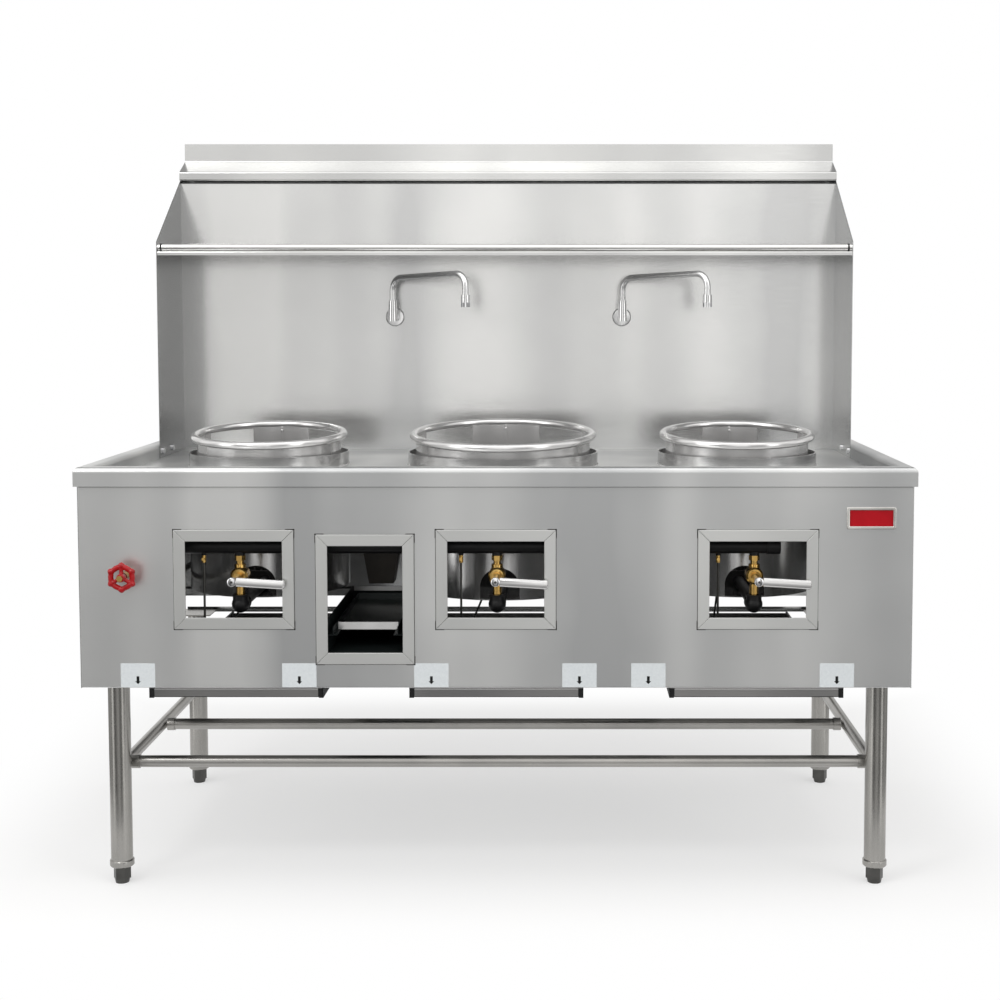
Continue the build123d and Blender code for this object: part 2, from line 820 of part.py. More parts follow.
with BuildPart() as water_inlet_pipe:
    inlet_end = back + inlet_reach
    with BuildLine() as water_inlet_route:
        FilletPolyline(
            (handwheel_x, valve_y, water_valve_foot - weld_gap),
            (handwheel_x, valve_y, water_inlet_height),
            (handwheel_x, inlet_end - water_thread_length, water_inlet_height),
            radius=water_pipe_bend,
        )
    with BuildSketch(Plane(origin=water_inlet_route.line @ 0, z_dir=water_inlet_route.line % 0)):
        Circle(water_pipe_radius)
    sweep()
    rod((handwheel_x, inlet_end, water_inlet_height), (0, -1, 0), water_thread_radius, water_thread_length)
save(water_inlet_pipe.part, "water_inlet_pipe")

with BuildPart() as handwheel:
    wheel_plane = facing_front(handwheel_x, wheel_back, handwheel_height)
    with BuildSketch(wheel_plane):
        Circle(handwheel_disc_radius)
        with PolarLocations(handwheel_radius - handwheel_lobe_radius, handwheel_lobes, start_angle=90):
            Circle(handwheel_lobe_radius)
    extrude(amount=handwheel_thickness)
    chamfer(handwheel.faces().sort_by(Axis.Y)[0].edges(), handwheel_edge)
    with BuildSketch(wheel_plane.offset(handwheel_thickness)):
        Circle(handwheel_dish_radius)
    extrude(amount=-handwheel_dish_depth, mode=Mode.SUBTRACT)
    with BuildSketch(wheel_plane):
        for turn in range(handwheel_slots):
            with BuildLine():
                slot_middle = handwheel_slot_turn + turn * 360 / handwheel_slots
                slot_start = slot_middle - handwheel_slot_angle / 2
                outer = CenterArc((0, 0), handwheel_slot_outer, slot_start, handwheel_slot_angle)
                inner = CenterArc((0, 0), handwheel_slot_inner, slot_start, handwheel_slot_angle)
                Line(outer @ 0, inner @ 0)
                Line(outer @ 1, inner @ 1)
            make_face()
    extrude(amount=handwheel_thickness, mode=Mode.SUBTRACT)
    with BuildSketch(wheel_plane):
        Circle(handwheel_hub_radius)
    extrude(amount=handwheel_hub_length)
    with BuildSketch(wheel_plane):
        Circle(lever_stem_radius + weld_gap)
    extrude(amount=handwheel_hub_length, mode=Mode.SUBTRACT)
save(handwheel.part, "handwheel")

with BuildPart() as handwheel_stem:
    stem_start = valve_y - stem_depth - seat_gap
    hub_front = wheel_back - handwheel_hub_length
    rod((handwheel_x, stem_start, handwheel_height), (0, -1, 0), lever_stem_radius, stem_start - hub_front)
    with BuildSketch(facing_front(handwheel_x, hub_front, handwheel_height)):
        RegularPolygon(handwheel_nut_radius, 6)
    extrude(amount=handwheel_nut_height)
save(handwheel_stem.part, "handwheel_stem")

supply_y = back - flange_depth - water_pipe_radius

with BuildPart() as water_pipe:
    with BuildLine() as supply_route:
        FilletPolyline(
            (handwheel_x, valve_y + water_valve_radius, handwheel_height),
            (handwheel_x, supply_y, handwheel_height),
            (handwheel_x, supply_y, faucet_height),
            (faucet_x + supply_overrun, supply_y, faucet_height),
            radius=water_pipe_bend,
        )
    with BuildSketch(Plane(origin=supply_route.line @ 0, z_dir=supply_route.line % 0)):
        Circle(water_pipe_radius)
    sweep()
save(water_pipe.part, "water_pipe")

# ==== windows: mitred strip frames on the front panel ====


def window_frame(x, z, width, height):
    """Four flat strips with mitred ends, round one window."""
    signs = ((-1, -1), (1, -1), (1, 1), (-1, 1))
    outer = [(a * width / 2, b * height / 2) for a, b in signs]
    inner = [(a * (width / 2 - strip_width), b * (height / 2 - strip_width)) for a, b in signs]
    with BuildPart() as frame:
        for i in range(4):
            j = (i + 1) % 4
            with BuildSketch(facing_front(x, cabinet_front, z)):
                Polygon(outer[i], outer[j], inner[j], inner[i], align=None)
                offset(amount=-mitre_gap / 2, kind=Kind.INTERSECTION, mode=Mode.REPLACE)
            extrude(amount=strip_thickness)
    return frame.part


for name, x, radius in chamber_places:
    save(window_frame(x, window_level, window_width, window_height), "window_frame_" + name)
save(window_frame(storage_x, storage_level, storage_width, storage_height), "window_frame_storage")

# ==== drip trays and their runners ====


def open_tray(x, y, bottom, width, length, height, wall):
    """A shallow folded tray, open at the top, that starts at y."""
    with BuildPart() as tray:
        with BuildSketch(Plane.XY.offset(bottom)):
            with Locations((x, y + length / 2)):
                Rectangle(width, length)
        extrude(amount=height)
        offset(amount=-wall, openings=tray.faces().sort_by(Axis.Z)[-1])
    return tray.part


tray_front = front + tray_setback
for name, x, radius in chamber_places:
    tray = open_tray(x, tray_front, tray_bottom, tray_width, tray_length, tray_height, tray_wall)
    save(tray, "drip_tray_" + name)

# ==== storage tray, its runners in a black sheet bay, and the drain chute ====

storage_tray_front = front + storage_tray_setback
storage_tray = open_tray(
    storage_x,
    storage_tray_front,
    storage_tray_level,
    storage_tray_width,
    storage_tray_length,
    storage_tray_height,
    tray_wall,
)
save(storage_tray, "storage_tray")


def runner_section(centre, side, width, bottom, top):
    """An L-shaped runner's section, beside a tray and under its edge."""
    web = centre + side * (width / 2 + seat_gap + runner_wall)
    low = bottom - seat_gap - runner_wall
    with BuildSketch() as section:
        Polygon(
            (web, top),
            (web - side * runner_wall, top),
            (web - side * runner_wall, low + runner_wall),
            (web - side * runner_lip, low + runner_wall),
            (web - side * runner_lip, low),
            (web, low),
            align=None,
        )
    return section.sketch


with BuildPart() as tray_runners:
    runner_front = cabinet_front + 2 * bend_radius
    for name, x, radius in chamber_places:
        for side in (-1, 1):
            with BuildSketch(Plane.XZ.offset(-runner_front)):
                add(runner_section(x, side, tray_width, tray_bottom, body_bottom))
            extrude(amount=-(back - runner_front - cut_margin))
    storage_runner_front = cabinet_front + sheet
    storage_tray_top = storage_tray_level + storage_tray_height
    bay_half = storage_inner_width / 2
    bay_bottom = storage_level - storage_inner_height / 2 - runner_wall
    bay_top = storage_tray_top + storage_bay_rise
    bay_front = cabinet_front + weld_gap
    bay_back = storage_tray_front + storage_tray_length + seat_gap
    for side in (-1, 1):
        with BuildSketch(Plane.XZ.offset(-storage_runner_front)):
            add(runner_section(storage_x, side, storage_tray_width, storage_tray_level, storage_tray_top))
        extrude(amount=-(storage_tray_front + storage_tray_length - storage_runner_front))
        bay_corner = (storage_x + side * (bay_half + runner_wall / 2), (bay_front + bay_back) / 2)
        with BuildSketch(Plane.XY.offset(bay_bottom)):
            with Locations(bay_corner):
                Rectangle(runner_wall, bay_back - bay_front)
        extrude(amount=bay_top - bay_bottom)
        bearer_inner = storage_tray_width / 2 + seat_gap + runner_wall + weld_gap
        bearer_outer = bay_half - weld_gap
        with BuildSketch(Plane.XY.offset(storage_tray_level - seat_gap)):
            with Locations((storage_x + side * (bearer_inner + bearer_outer) / 2, bay_corner[1])):
                Rectangle(bearer_outer - bearer_inner, bay_back - bay_front)
        extrude(amount=-runner_wall)
    with BuildSketch(Plane.XY.offset(bay_bottom)):
        with Locations((storage_x, (bay_front + bay_back) / 2)):
            Rectangle(2 * (bay_half - weld_gap), bay_back - bay_front)
    extrude(amount=runner_wall)
    with BuildSketch(Plane.XY.offset(bay_bottom)):
        with Locations((storage_x, bay_back + weld_gap + runner_wall / 2)):
            Rectangle(2 * (bay_half + runner_wall), runner_wall)
    extrude(amount=bay_top - bay_bottom)
save(tray_runners.part, "tray_runners")


def chute_shell(margin):
    """The drain chute's outline, a straight duct over a tapered outlet."""
    centre = (storage_x, front + chute_setback)
    with BuildPart() as shell:
        with BuildSketch(Plane.XY.offset(chute_shoulder)):
            with Locations(centre):
                Rectangle(chute_duct - 2 * margin, chute_duct - 2 * margin)
        extrude(amount=deck_under - chute_shoulder)
        with BuildSketch(Plane.XY.offset(chute_shoulder)):
            with Locations(centre):
                Rectangle(chute_duct - 2 * margin, chute_duct - 2 * margin)
        with BuildSketch(Plane.XY.offset(chute_bottom)):
            with Locations(centre):
                Rectangle(chute_outlet - 2 * margin, chute_outlet - 2 * margin)
        loft()
    return shell.part


with BuildPart() as drain_chute:
    add(chute_shell(0))
    add(chute_shell(sheet), mode=Mode.SUBTRACT)
save(drain_chute.part, "drain_chute")

# ==== legs, feet and the H-shaped lower frame ====

leg_top = body_bottom + sheet


def leg(x, y):
    """A tube leg with a plate on the cabinet's flange and a threaded collar."""
    side = 1 if x > 0 else -1
    plate_outer = cabinet_half - bend_radius
    plate_inner = leg_x - leg_plate_half
    with BuildPart() as post:
        with BuildSketch(Plane.XY.offset(leg_top)):
            with Locations((side * (plate_outer + plate_inner) / 2, y)):
                Rectangle(plate_outer - plate_inner, 2 * leg_plate_half)
        extrude(amount=leg_plate)
        with BuildSketch(Plane.XY.offset(foot_height)):
            with Locations((x, y)):
                Circle(leg_radius)
                Circle(leg_radius - leg_wall, mode=Mode.SUBTRACT)
        extrude(amount=leg_top - foot_height)
        with BuildSketch(Plane.XY.offset(foot_height)):
            with Locations((x, y)):
                Circle(collar_radius)
                Circle(foot_stem_radius + running_gap, mode=Mode.SUBTRACT)
        extrude(amount=collar_height)
        rims = post.edges().filter_by(GeomType.CIRCLE).filter_by(lambda rim: rim.radius == collar_radius)
        chamfer(rims, collar_edge)
    return post.part


def foot(x, y):
    """A hexagonal levelling foot on a stem that runs in the leg's collar."""
    with BuildPart() as piece:
        with BuildSketch(Plane.XY):
            with Locations((x, y)):
                Circle(foot_pad_radius)
        with BuildSketch(Plane.XY.offset(foot_pad_height)):
            with Locations((x, y)):
                Circle(foot_pad_radius + foot_pad_flare)
        loft()
        with BuildSketch(Plane.XY.offset(foot_pad_height)):
            with Locations((x, y)):
                RegularPolygon(foot_radius, 6)
        extrude(amount=foot_height - foot_pad_height - seat_gap)
        with BuildSketch(Plane.XY.offset(foot_height - seat_gap)):
            with Locations((x, y)):
                Circle(foot_stem_radius)
        extrude(amount=foot_stem_length)
    return piece.part


leg_places = (
    ("front_left", -leg_x, front + front_leg_setback),
    ("front_right", leg_x, front + front_leg_setback),
    ("back_left", -leg_x, back_leg_y),
    ("back_right", leg_x, back_leg_y),
)
for name, x, y in leg_places:
    save(leg(x, y), "leg_" + name)
    save(foot(x, y), "foot_" + name)

rail_start = front + front_leg_setback + leg_radius + weld_gap
rail_end = back_leg_y - leg_radius - weld_gap

with BuildPart() as lower_frame:
    for side in (-1, 1):
        rod((side * leg_x, rail_start, stretcher_height), (0, 1, 0), stretcher_radius, rail_end - rail_start)
        for y, direction in ((rail_start, 1), (rail_end, -1)):
            rod(
                (side * leg_x, y, stretcher_height),
                (0, direction, 0),
                stretcher_radius + stretcher_collar,
                stretcher_collar_width,
            )
    stretcher_half = leg_x - stretcher_radius - weld_gap
    for setback in (front_stretcher_setback, back_stretcher_setback):
        start = (-stretcher_half, front + setback, stretcher_height)
        rod(start, (1, 0, 0), stretcher_radius, 2 * stretcher_half)
        for side in (-1, 1):
            end = (side * stretcher_half, front + setback, stretcher_height)
            rod(end, (-side, 0, 0), stretcher_radius + stretcher_collar, stretcher_sleeve)
save(lower_frame.part, "lower_frame")

# ==== faucets ====

swivel_y = splash_front - faucet_standoff


def faucet_body(x):
    """A wall flange, a stub and an upright tapered body with the swivel socket."""
    bottom = faucet_height - faucet_body_drop
    with BuildPart() as body:
        with BuildSketch(facing_front(x, splash_front, faucet_height)):
            Circle(faucet_flange_radius)
        extrude(amount=faucet_flange_thickness)
        chamfer(body.faces().sort_by(Axis.Y)[0].edges(), faucet_flange_thickness / 2)
        tail_start = supply_y - water_pipe_radius - weld_gap
        rod((x, tail_start, faucet_height), (0, -1, 0), faucet_stub_radius, tail_start - swivel_y)
        with BuildSketch(Plane.XY.offset(bottom)):
            with Locations((x, swivel_y)):
                Circle(faucet_body_radius)
        with BuildSketch(Plane.XY.offset(bottom + faucet_body_height)):
            with Locations((x, swivel_y)):
                Circle(faucet_neck_radius)
        loft()
        with BuildSketch(Plane.XY.offset(bottom + faucet_body_height)):
            with Locations((x, swivel_y)):
                Circle(spout_radius + running_gap)
        extrude(amount=-spout_socket, mode=Mode.SUBTRACT)
    return body.part


def spout(x):
    """A bent tube that swings in the faucet body, with an aerator at its tip."""
    turn = radians(spout_turn)
    reach_x = sin(turn)
    reach_y = -cos(turn)
    base = faucet_height - faucet_body_drop + faucet_body_height - spout_socket + seat_gap
    arm_end = spout_arm_height + spout_arm_rise
    arm_plane = Plane(origin=(x, swivel_y, 0), x_dir=(reach_x, reach_y, 0), z_dir=(reach_y, -reach_x, 0))
    with BuildPart() as pipe:
        with BuildLine(arm_plane) as route:
            FilletPolyline(
                (0, base),
                (0, spout_arm_height),
                (spout_reach, arm_end),
                (spout_reach, spout_tip_height + aerator_height),
                radius=spout_bend,
            )
        with BuildSketch(Plane.XY.offset(base)):
            with Locations((x, swivel_y)):
                Circle(spout_radius)
                Circle(spout_radius - spout_wall, mode=Mode.SUBTRACT)
        sweep()
        with BuildSketch(Plane.XY.offset(spout_tip_height)):
            with Locations((x + spout_reach * reach_x, swivel_y + spout_reach * reach_y)):
                Circle(aerator_radius)
                Circle(spout_radius - spout_wall, mode=Mode.SUBTRACT)
        extrude(amount=aerator_height)
    return pipe.part


for name, x in (("left", -faucet_x), ("right", faucet_x)):
    save(faucet_body(x), "faucet_body_" + name)
    save(spout(x), "spout_" + name)
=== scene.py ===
import json
import math

import bmesh
import bpy
from mathutils import Matrix, Vector


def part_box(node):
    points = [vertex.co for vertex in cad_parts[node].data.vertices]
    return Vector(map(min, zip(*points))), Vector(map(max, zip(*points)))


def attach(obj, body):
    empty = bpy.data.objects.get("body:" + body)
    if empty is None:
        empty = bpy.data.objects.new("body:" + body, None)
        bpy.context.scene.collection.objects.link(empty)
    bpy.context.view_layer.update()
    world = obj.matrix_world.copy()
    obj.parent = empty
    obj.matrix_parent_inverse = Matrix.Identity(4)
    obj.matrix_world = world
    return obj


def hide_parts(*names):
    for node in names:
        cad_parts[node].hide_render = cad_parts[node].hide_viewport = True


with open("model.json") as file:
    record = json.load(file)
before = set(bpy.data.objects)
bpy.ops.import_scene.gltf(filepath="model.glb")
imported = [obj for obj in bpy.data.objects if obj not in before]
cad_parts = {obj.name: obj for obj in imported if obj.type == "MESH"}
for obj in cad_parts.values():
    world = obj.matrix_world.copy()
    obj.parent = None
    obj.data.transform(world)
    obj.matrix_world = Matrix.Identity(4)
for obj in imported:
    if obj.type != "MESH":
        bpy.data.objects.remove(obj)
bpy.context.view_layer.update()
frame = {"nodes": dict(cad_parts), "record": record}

nodes = frame["nodes"]
record = frame["record"]
bodyOf = {node: body for body, members in record["behaviour"]["bodies"].items() for node in members}
print("frame loaded:", len(nodes), "nodes")

# places that the finishing pieces are set against, all read from the frame
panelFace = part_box("front_panel")[0].y
panelLeft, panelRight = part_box("front_panel")[0].x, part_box("front_panel")[1].x
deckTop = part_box("splash_panel")[0].z
sides = ("left", "centre", "right")


def middle(node):
    low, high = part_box(node)
    return (low + high) / 2


def newMaterial(name):
    material = bpy.data.materials.new(name)
    material.use_nodes = True
    tree = material.node_tree
    return material, tree, tree.nodes["Principled BSDF"]


def link(tree, fromNode, output, toNode, target):
    tree.links.new(fromNode.outputs[output], toNode.inputs[target])


def objectCoordinates(tree, scale, shift=(0, 0, 0)):
    # drawn out along the brushing, so that noise becomes fine lines
    coordinates = tree.nodes.new("ShaderNodeTexCoord")
    mapping = tree.nodes.new("ShaderNodeMapping")
    mapping.inputs["Scale"].default_value = scale
    mapping.inputs["Location"].default_value = shift
    link(tree, coordinates, "Object", mapping, "Vector")
    return mapping


def noise(tree, mapping, scale, detail, roughness=0.5):
    texture = tree.nodes.new("ShaderNodeTexNoise")
    texture.inputs["Scale"].default_value = scale
    texture.inputs["Detail"].default_value = detail
    texture.inputs["Roughness"].default_value = roughness
    link(tree, mapping, "Vector", texture, "Vector")
    return texture


def rangeOf(tree, source, output, low, high, fromLow=0.3, fromHigh=0.7):
    spread = tree.nodes.new("ShaderNodeMapRange")
    spread.inputs["From Min"].default_value = fromLow
    spread.inputs["From Max"].default_value = fromHigh
    spread.inputs["To Min"].default_value = low
    spread.inputs["To Max"].default_value = high
    link(tree, source, output, spread, "Value")
    return spread


def mixOf(tree, share, first, second):
    mixer = tree.nodes.new("ShaderNodeMix")
    mixer.inputs[0].default_value = share
    tree.links.new(first.outputs["Fac"], mixer.inputs[2])
    tree.links.new(second.outputs["Fac"], mixer.inputs[3])
    return mixer


def colourBetween(tree, factor, output, first, second):
    ramp = tree.nodes.new("ShaderNodeValToRGB")
    ramp.color_ramp.elements[0].color = (*first, 1)
    ramp.color_ramp.elements[1].color = (*second, 1)
    link(tree, factor, output, ramp, "Fac")
    return ramp


def finishWith(tree, shader, look, tone, texture, spread, depth):
    # colour between dark and light, with roughness and bump from the fine texture
    colour = colourBetween(tree, tone, "Result", look["dark"], look["light"])
    link(tree, colour, "Color", shader, "Base Color")
    rough = rangeOf(tree, texture, "Fac", look["rough"] - spread, look["rough"] + spread)
    link(tree, rough, "Result", shader, "Roughness")
    bump = tree.nodes.new("ShaderNodeBump")
    bump.inputs["Strength"].default_value = look["bump"]
    bump.inputs["Distance"].default_value = depth
    link(tree, texture, "Fac", bump, "Height")
    link(tree, bump, "Normal", shader, "Normal")


def metal(name, look):
    # brushed or satin metal: broad soft bands, small patches, and fine lines in roughness and bump
    material, tree, shader = newMaterial(name)
    fine = noise(tree, objectCoordinates(tree, look["grain"]), look["lineScale"], detail=3.0)
    spots = objectCoordinates(tree, look["bands"], look["bandShift"])
    bands = noise(tree, spots, look["bandScale"], detail=1.0)
    patches = noise(tree, objectCoordinates(tree, (1, 1, 1)), look["patchScale"], detail=2.0)
    tone = rangeOf(tree, mixOf(tree, look["patchShare"], bands, patches), 0, 0.0, 1.0, *look["bandRange"])
    finishWith(tree, shader, look, tone, fine, look["spread"], depth=0.0004)
    shader.inputs["Metallic"].default_value = look["metallic"]
    return material


def paint(name, look):
    # enamel, black pipe or casting: even colour with a slight mottle and a dull or glossy coat
    material, tree, shader = newMaterial(name)
    mottle = noise(tree, objectCoordinates(tree, (1, 1, 1)), look["scale"], detail=4.0, roughness=0.6)
    tone = rangeOf(tree, mottle, "Fac", 0.0, 1.0)
    finishWith(tree, shader, look, tone, mottle, spread=0.06, depth=0.0006)
    shader.inputs["Coat Weight"].default_value = look["coat"]
    shader.inputs["Specular IOR Level"].default_value = look["gloss"]
    return material


sheetLook = {"dark": (0.43, 0.437, 0.440), "light": (0.66, 0.663, 0.655), "rough": 0.19, "spread": 0.025,
             "grain": (1, 60, 60), "lineScale": 14.0, "bands": (2.2, 2.2, 0.12), "bandScale": 1.4,
             "bandShift": (0, 0, 0), "bandRange": (0.38, 0.62), "patchScale": 3.0, "patchShare": 0.2,
             "bump": 0.30, "metallic": 0.95}
uprightLook = {**sheetLook, "grain": (60, 60, 1)}
stripLook = {**sheetLook, "dark": (0.62, 0.625, 0.615), "light": (0.72, 0.725, 0.71), "rough": 0.30,
             "spread": 0.01, "grain": (1, 90, 90), "bump": 0.10}
tubeLook = {"dark": (0.28, 0.275, 0.262), "light": (0.38, 0.37, 0.35), "rough": 0.25, "spread": 0.04,
            "grain": (90, 90, 2), "lineScale": 10.0, "bands": (4, 4, 0.5), "bandScale": 4.0,
            "bandShift": (0, 0, 0), "bandRange": (0.3, 0.7), "patchScale": 9.0, "patchShare": 0.5,
            "bump": 0.12, "metallic": 1.0}
crossLook = {**tubeLook, "grain": (2, 90, 90), "bands": (0.5, 4, 4)}
polishedLook = {**tubeLook, "spread": 0.03, "grain": (8, 8, 8), "patchScale": 20.0, "bump": 0.03}
metalLooks = {
    "satinSteel": sheetLook,
    # on the front panel and the splash the broad bands of tone are shifted to lie where the bright and dark
    # reflection bands lie: random tone and painted reflection at once
    "panelSteel": {**sheetLook, "dark": (0.485, 0.492, 0.495), "light": (0.74, 0.743, 0.735),
                   "rough": 0.36, "bump": 0.16, "bands": (3.2, 2.2, 0.12), "bandShift": (9.9, -0.2, 1.3)},
    "splashSteel": {**sheetLook, "dark": (0.57, 0.572, 0.57), "light": (0.77, 0.768, 0.758), "bump": 0.20,
                    "metallic": 0.86, "bands": (3.2, 2.2, 0.12), "bandShift": (-11.5, -12.4, 1.0)},
    "capSteel": {**sheetLook, "dark": (0.56, 0.56, 0.555), "light": (0.69, 0.69, 0.68), "bump": 0.12},
    # a darker copy of the upright steel, for the left wing only: painted shade
    "shadedSteel": {**uprightLook, "dark": (0.26, 0.263, 0.265), "light": (0.34, 0.343, 0.343)},
    "uprightSteel": {**uprightLook, "dark": (0.50, 0.505, 0.505), "light": (0.62, 0.625, 0.62)},
    "frameSteel": stripLook,
    "frameUpright": {**stripLook, "grain": (90, 90, 1)},
    # a darker copy of the sheet steel, for the drip trays low under the body: painted shade
    "traySteel": {**sheetLook, "dark": (0.22, 0.22, 0.22), "light": (0.32, 0.315, 0.31), "rough": 0.30},
    # near-black steel for the storage tray deep in the unlit bay: painted shade
    "shadedBayTray": {**sheetLook, "dark": (0.045, 0.052, 0.052), "light": (0.10, 0.11, 0.108), "rough": 0.34,
                "bump": 0.10},
    "tubeSteel": tubeLook,
    "crossTubeSteel": {**crossLook, "dark": (0.31, 0.303, 0.29), "light": (0.41, 0.40, 0.38), "rough": 0.30},
    # a much lighter copy of the tube steel, for the shelf's front tube: painted light
    "shelfTubeSteel": {**crossLook, "dark": (0.74, 0.735, 0.72), "light": (0.84, 0.835, 0.82), "rough": 0.22},
    "ringSteel": {**tubeLook, "dark": (0.62, 0.615, 0.61), "light": (0.76, 0.755, 0.75), "rough": 0.20,
                  "grain": (30, 30, 30), "patchScale": 14.0, "bump": 0.06, "metallic": 0.72},
    "drumSteel": {**tubeLook, "dark": (0.40, 0.40, 0.40), "light": (0.66, 0.655, 0.65), "rough": 0.17,
                  "grain": (20, 20, 3), "bands": (6, 6, 0.6), "bandScale": 3.0, "bump": 0.08,
                  "metallic": 0.86},
    "faucetChrome": {**polishedLook, "dark": (0.70, 0.70, 0.70), "light": (0.80, 0.80, 0.80), "rough": 0.20,
                     "metallic": 0.82},
    "bezelChrome": {**polishedLook, "dark": (0.52, 0.51, 0.49), "light": (0.70, 0.69, 0.66), "rough": 0.12,
                    "patchScale": 30.0},
    "footSteel": {**tubeLook, "dark": (0.055, 0.055, 0.053), "light": (0.12, 0.118, 0.112), "rough": 0.34,
                  "grain": (20, 20, 20), "patchScale": 30.0},
    "brass": {**tubeLook, "dark": (0.46, 0.27, 0.07), "light": (0.72, 0.48, 0.16), "rough": 0.22,
              "grain": (20, 20, 20), "patchScale": 40.0, "bump": 0.10},
    "chrome": {**polishedLook, "dark": (0.70, 0.70, 0.71), "light": (0.82, 0.82, 0.83), "rough": 0.10,
               "bump": 0.02},
}
paintLooks = {
    "castIron": {"dark": (0.010, 0.010, 0.011), "light": (0.030, 0.028, 0.027), "rough": 0.70,
                 "scale": 160.0, "bump": 0.45, "coat": 0.0, "gloss": 0.35},
    "blackPipe": {"dark": (0.003, 0.003, 0.004), "light": (0.009, 0.009, 0.009), "rough": 0.42,
                  "scale": 90.0, "bump": 0.20, "coat": 0.0, "gloss": 0.30},
    "darkRunner": {"dark": (0.004, 0.006, 0.006), "light": (0.010, 0.013, 0.013), "rough": 0.55,
                   "scale": 60.0, "bump": 0.10, "coat": 0.0, "gloss": 0.12},
    "seamShadow": {"dark": (0.030, 0.028, 0.026), "light": (0.060, 0.056, 0.050), "rough": 0.60,
                   "scale": 60.0, "bump": 0.05, "coat": 0.0, "gloss": 0.2},
    "chuteBronze": {"dark": (0.030, 0.026, 0.022), "light": (0.060, 0.052, 0.043), "rough": 0.45,
                    "scale": 14.0, "bump": 0.10, "coat": 0.0, "gloss": 0.4},
    "redEnamel": {"dark": (0.30, 0.0015, 0.004), "light": (0.42, 0.003, 0.007), "rough": 0.30,
                  "scale": 60.0, "bump": 0.06, "coat": 0.4, "gloss": 0.22},
    "redInsert": {"dark": (0.40, 0.002, 0.008), "light": (0.47, 0.003, 0.011), "rough": 0.35,
                  "scale": 30.0, "bump": 0.02, "coat": 0.0, "gloss": 0.2},
    "blankLabel": {"dark": (0.64, 0.675, 0.695), "light": (0.70, 0.735, 0.75), "rough": 0.50,
                   "scale": 200.0, "bump": 0.02, "coat": 0.0, "gloss": 0.3},
    "blackInk": {"dark": (0.006, 0.006, 0.006), "light": (0.012, 0.012, 0.012), "rough": 0.50,
                 "scale": 200.0, "bump": 0.02, "coat": 0.0, "gloss": 0.2},
}
materials = {name: metal(name, look) for name, look in metalLooks.items()}
materials.update({name: paint(name, look) for name, look in paintLooks.items()})
print("materials:", len(materials))

slotFinish = {
    "satin_steel": "satinSteel", "tube_steel": "tubeSteel", "ring_steel": "ringSteel",
    "drum_steel": "drumSteel", "cast_iron": "castIron", "black_pipe": "blackPipe", "brass": "brass",
    "chrome": "chrome", "red_enamel": "redEnamel", "dark_runner": "darkRunner", "foot_steel": "footSteel",
}
# nodes whose brushing or tone isn't their slot's usual one; the darker steels of the left wing, the drip
# trays and the storage tray are painted shade, the lighter steel of the shelf tube is painted light
ownFinish = {
    "handwheel_stem": "brass", "spout_left": "faucetChrome", "spout_right": "faucetChrome",
    "faucet_body_left": "faucetChrome", "faucet_body_right": "faucetChrome",
    "wing_left": "shadedSteel", "wing_right": "uprightSteel", "riser_back": "uprightSteel",
    "lower_frame": "crossTubeSteel", "shelf_tube": "shelfTubeSteel", "pilot_tubes": "footSteel",
    "splash_panel": "splashSteel", "front_panel": "panelSteel", "top_deck": "panelSteel",
    "shelf_plate": "capSteel", "flue_cap": "capSteel", "drain_chute": "chuteBronze",
    "storage_tray": "shadedBayTray", "drip_tray_left": "traySteel", "drip_tray_centre": "traySteel",
    "drip_tray_right": "traySteel",
}
finishOf = {row["node"]: ownFinish.get(row["node"], slotFinish[row["material_slot"]])
            for row in record["subparts"]}
for node, finish in finishOf.items():
    mesh = nodes[node].data
    mesh.materials.clear()
    mesh.materials.append(materials[finish])
print("finishes put on the nodes")


def inScene(name, data):
    thing = bpy.data.objects.new(name, data)
    bpy.context.scene.collection.objects.link(thing)
    return thing


def settledMesh(piece):
    # a plain mesh of what the modifiers make
    bpy.context.view_layer.update()
    return bpy.data.meshes.new_from_object(piece.evaluated_get(bpy.context.evaluated_depsgraph_get()))


def newPiece(name, mesh, finishes, body):
    for finish in finishes:
        mesh.materials.append(materials[finish])
    piece = inScene(name, mesh)
    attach(piece, body)
    return piece


def meshOf(shape, name, smooth=0):
    mesh = bpy.data.meshes.new(name)
    shape.to_mesh(mesh)
    shape.free()
    if smooth:
        mesh.shade_smooth()
        mesh.set_sharp_from_angle(angle=math.radians(smooth))
    return mesh


def builtMesh(name, build, smooth=0):
    # made in bmesh, at the origin, with its place in its mesh
    shape = bmesh.new()
    build(shape)
    bmesh.ops.recalc_face_normals(shape, faces=shape.faces)
    return meshOf(shape, name, smooth)


def meshPiece(name, build, finishes, body="range", bevel=0.0, smooth=0):
    piece = newPiece(name, builtMesh(name, build, smooth), finishes, body)
    if bevel:
        softEdges(piece, bevel, 3)
    return piece


def addBlock(shape, low, high):
    # a closed block between two corners
    size = Vector(high) - Vector(low)
    centre = (Vector(high) + Vector(low)) / 2
    place = Matrix.Translation(centre) @ Matrix.Diagonal((*size, 1))
    bmesh.ops.create_cube(shape, size=1.0, matrix=place)


def addPrism(shape, outline, yFront, yBack, finishIndex=0):
    # a flat outline in X and Z, given a thickness along Y
    face = shape.faces.new([shape.verts.new((x, yFront, z)) for x, z in outline])
    grown = bmesh.ops.extrude_face_region(shape, geom=[face])
    moved = [v for v in grown["geom"] if isinstance(v, bmesh.types.BMVert)]
    bmesh.ops.translate(shape, verts=moved, vec=(0, yBack - yFront, 0))
    for corner in moved:
        for side in corner.link_faces:
            side.material_index = finishIndex
    face.material_index = finishIndex


def turnTo(axis):
    return Vector((0, 0, 1)).rotation_difference(Vector(axis)).to_matrix()


def circleAt(centre, turn, radius, along, steps):
    # points of a circle round a turned axis, some way along it
    angles = [i * math.tau / steps for i in range(steps)]
    return [Vector(centre) + turn @ Vector((radius * math.cos(a), radius * math.sin(a), along))
            for a in angles]


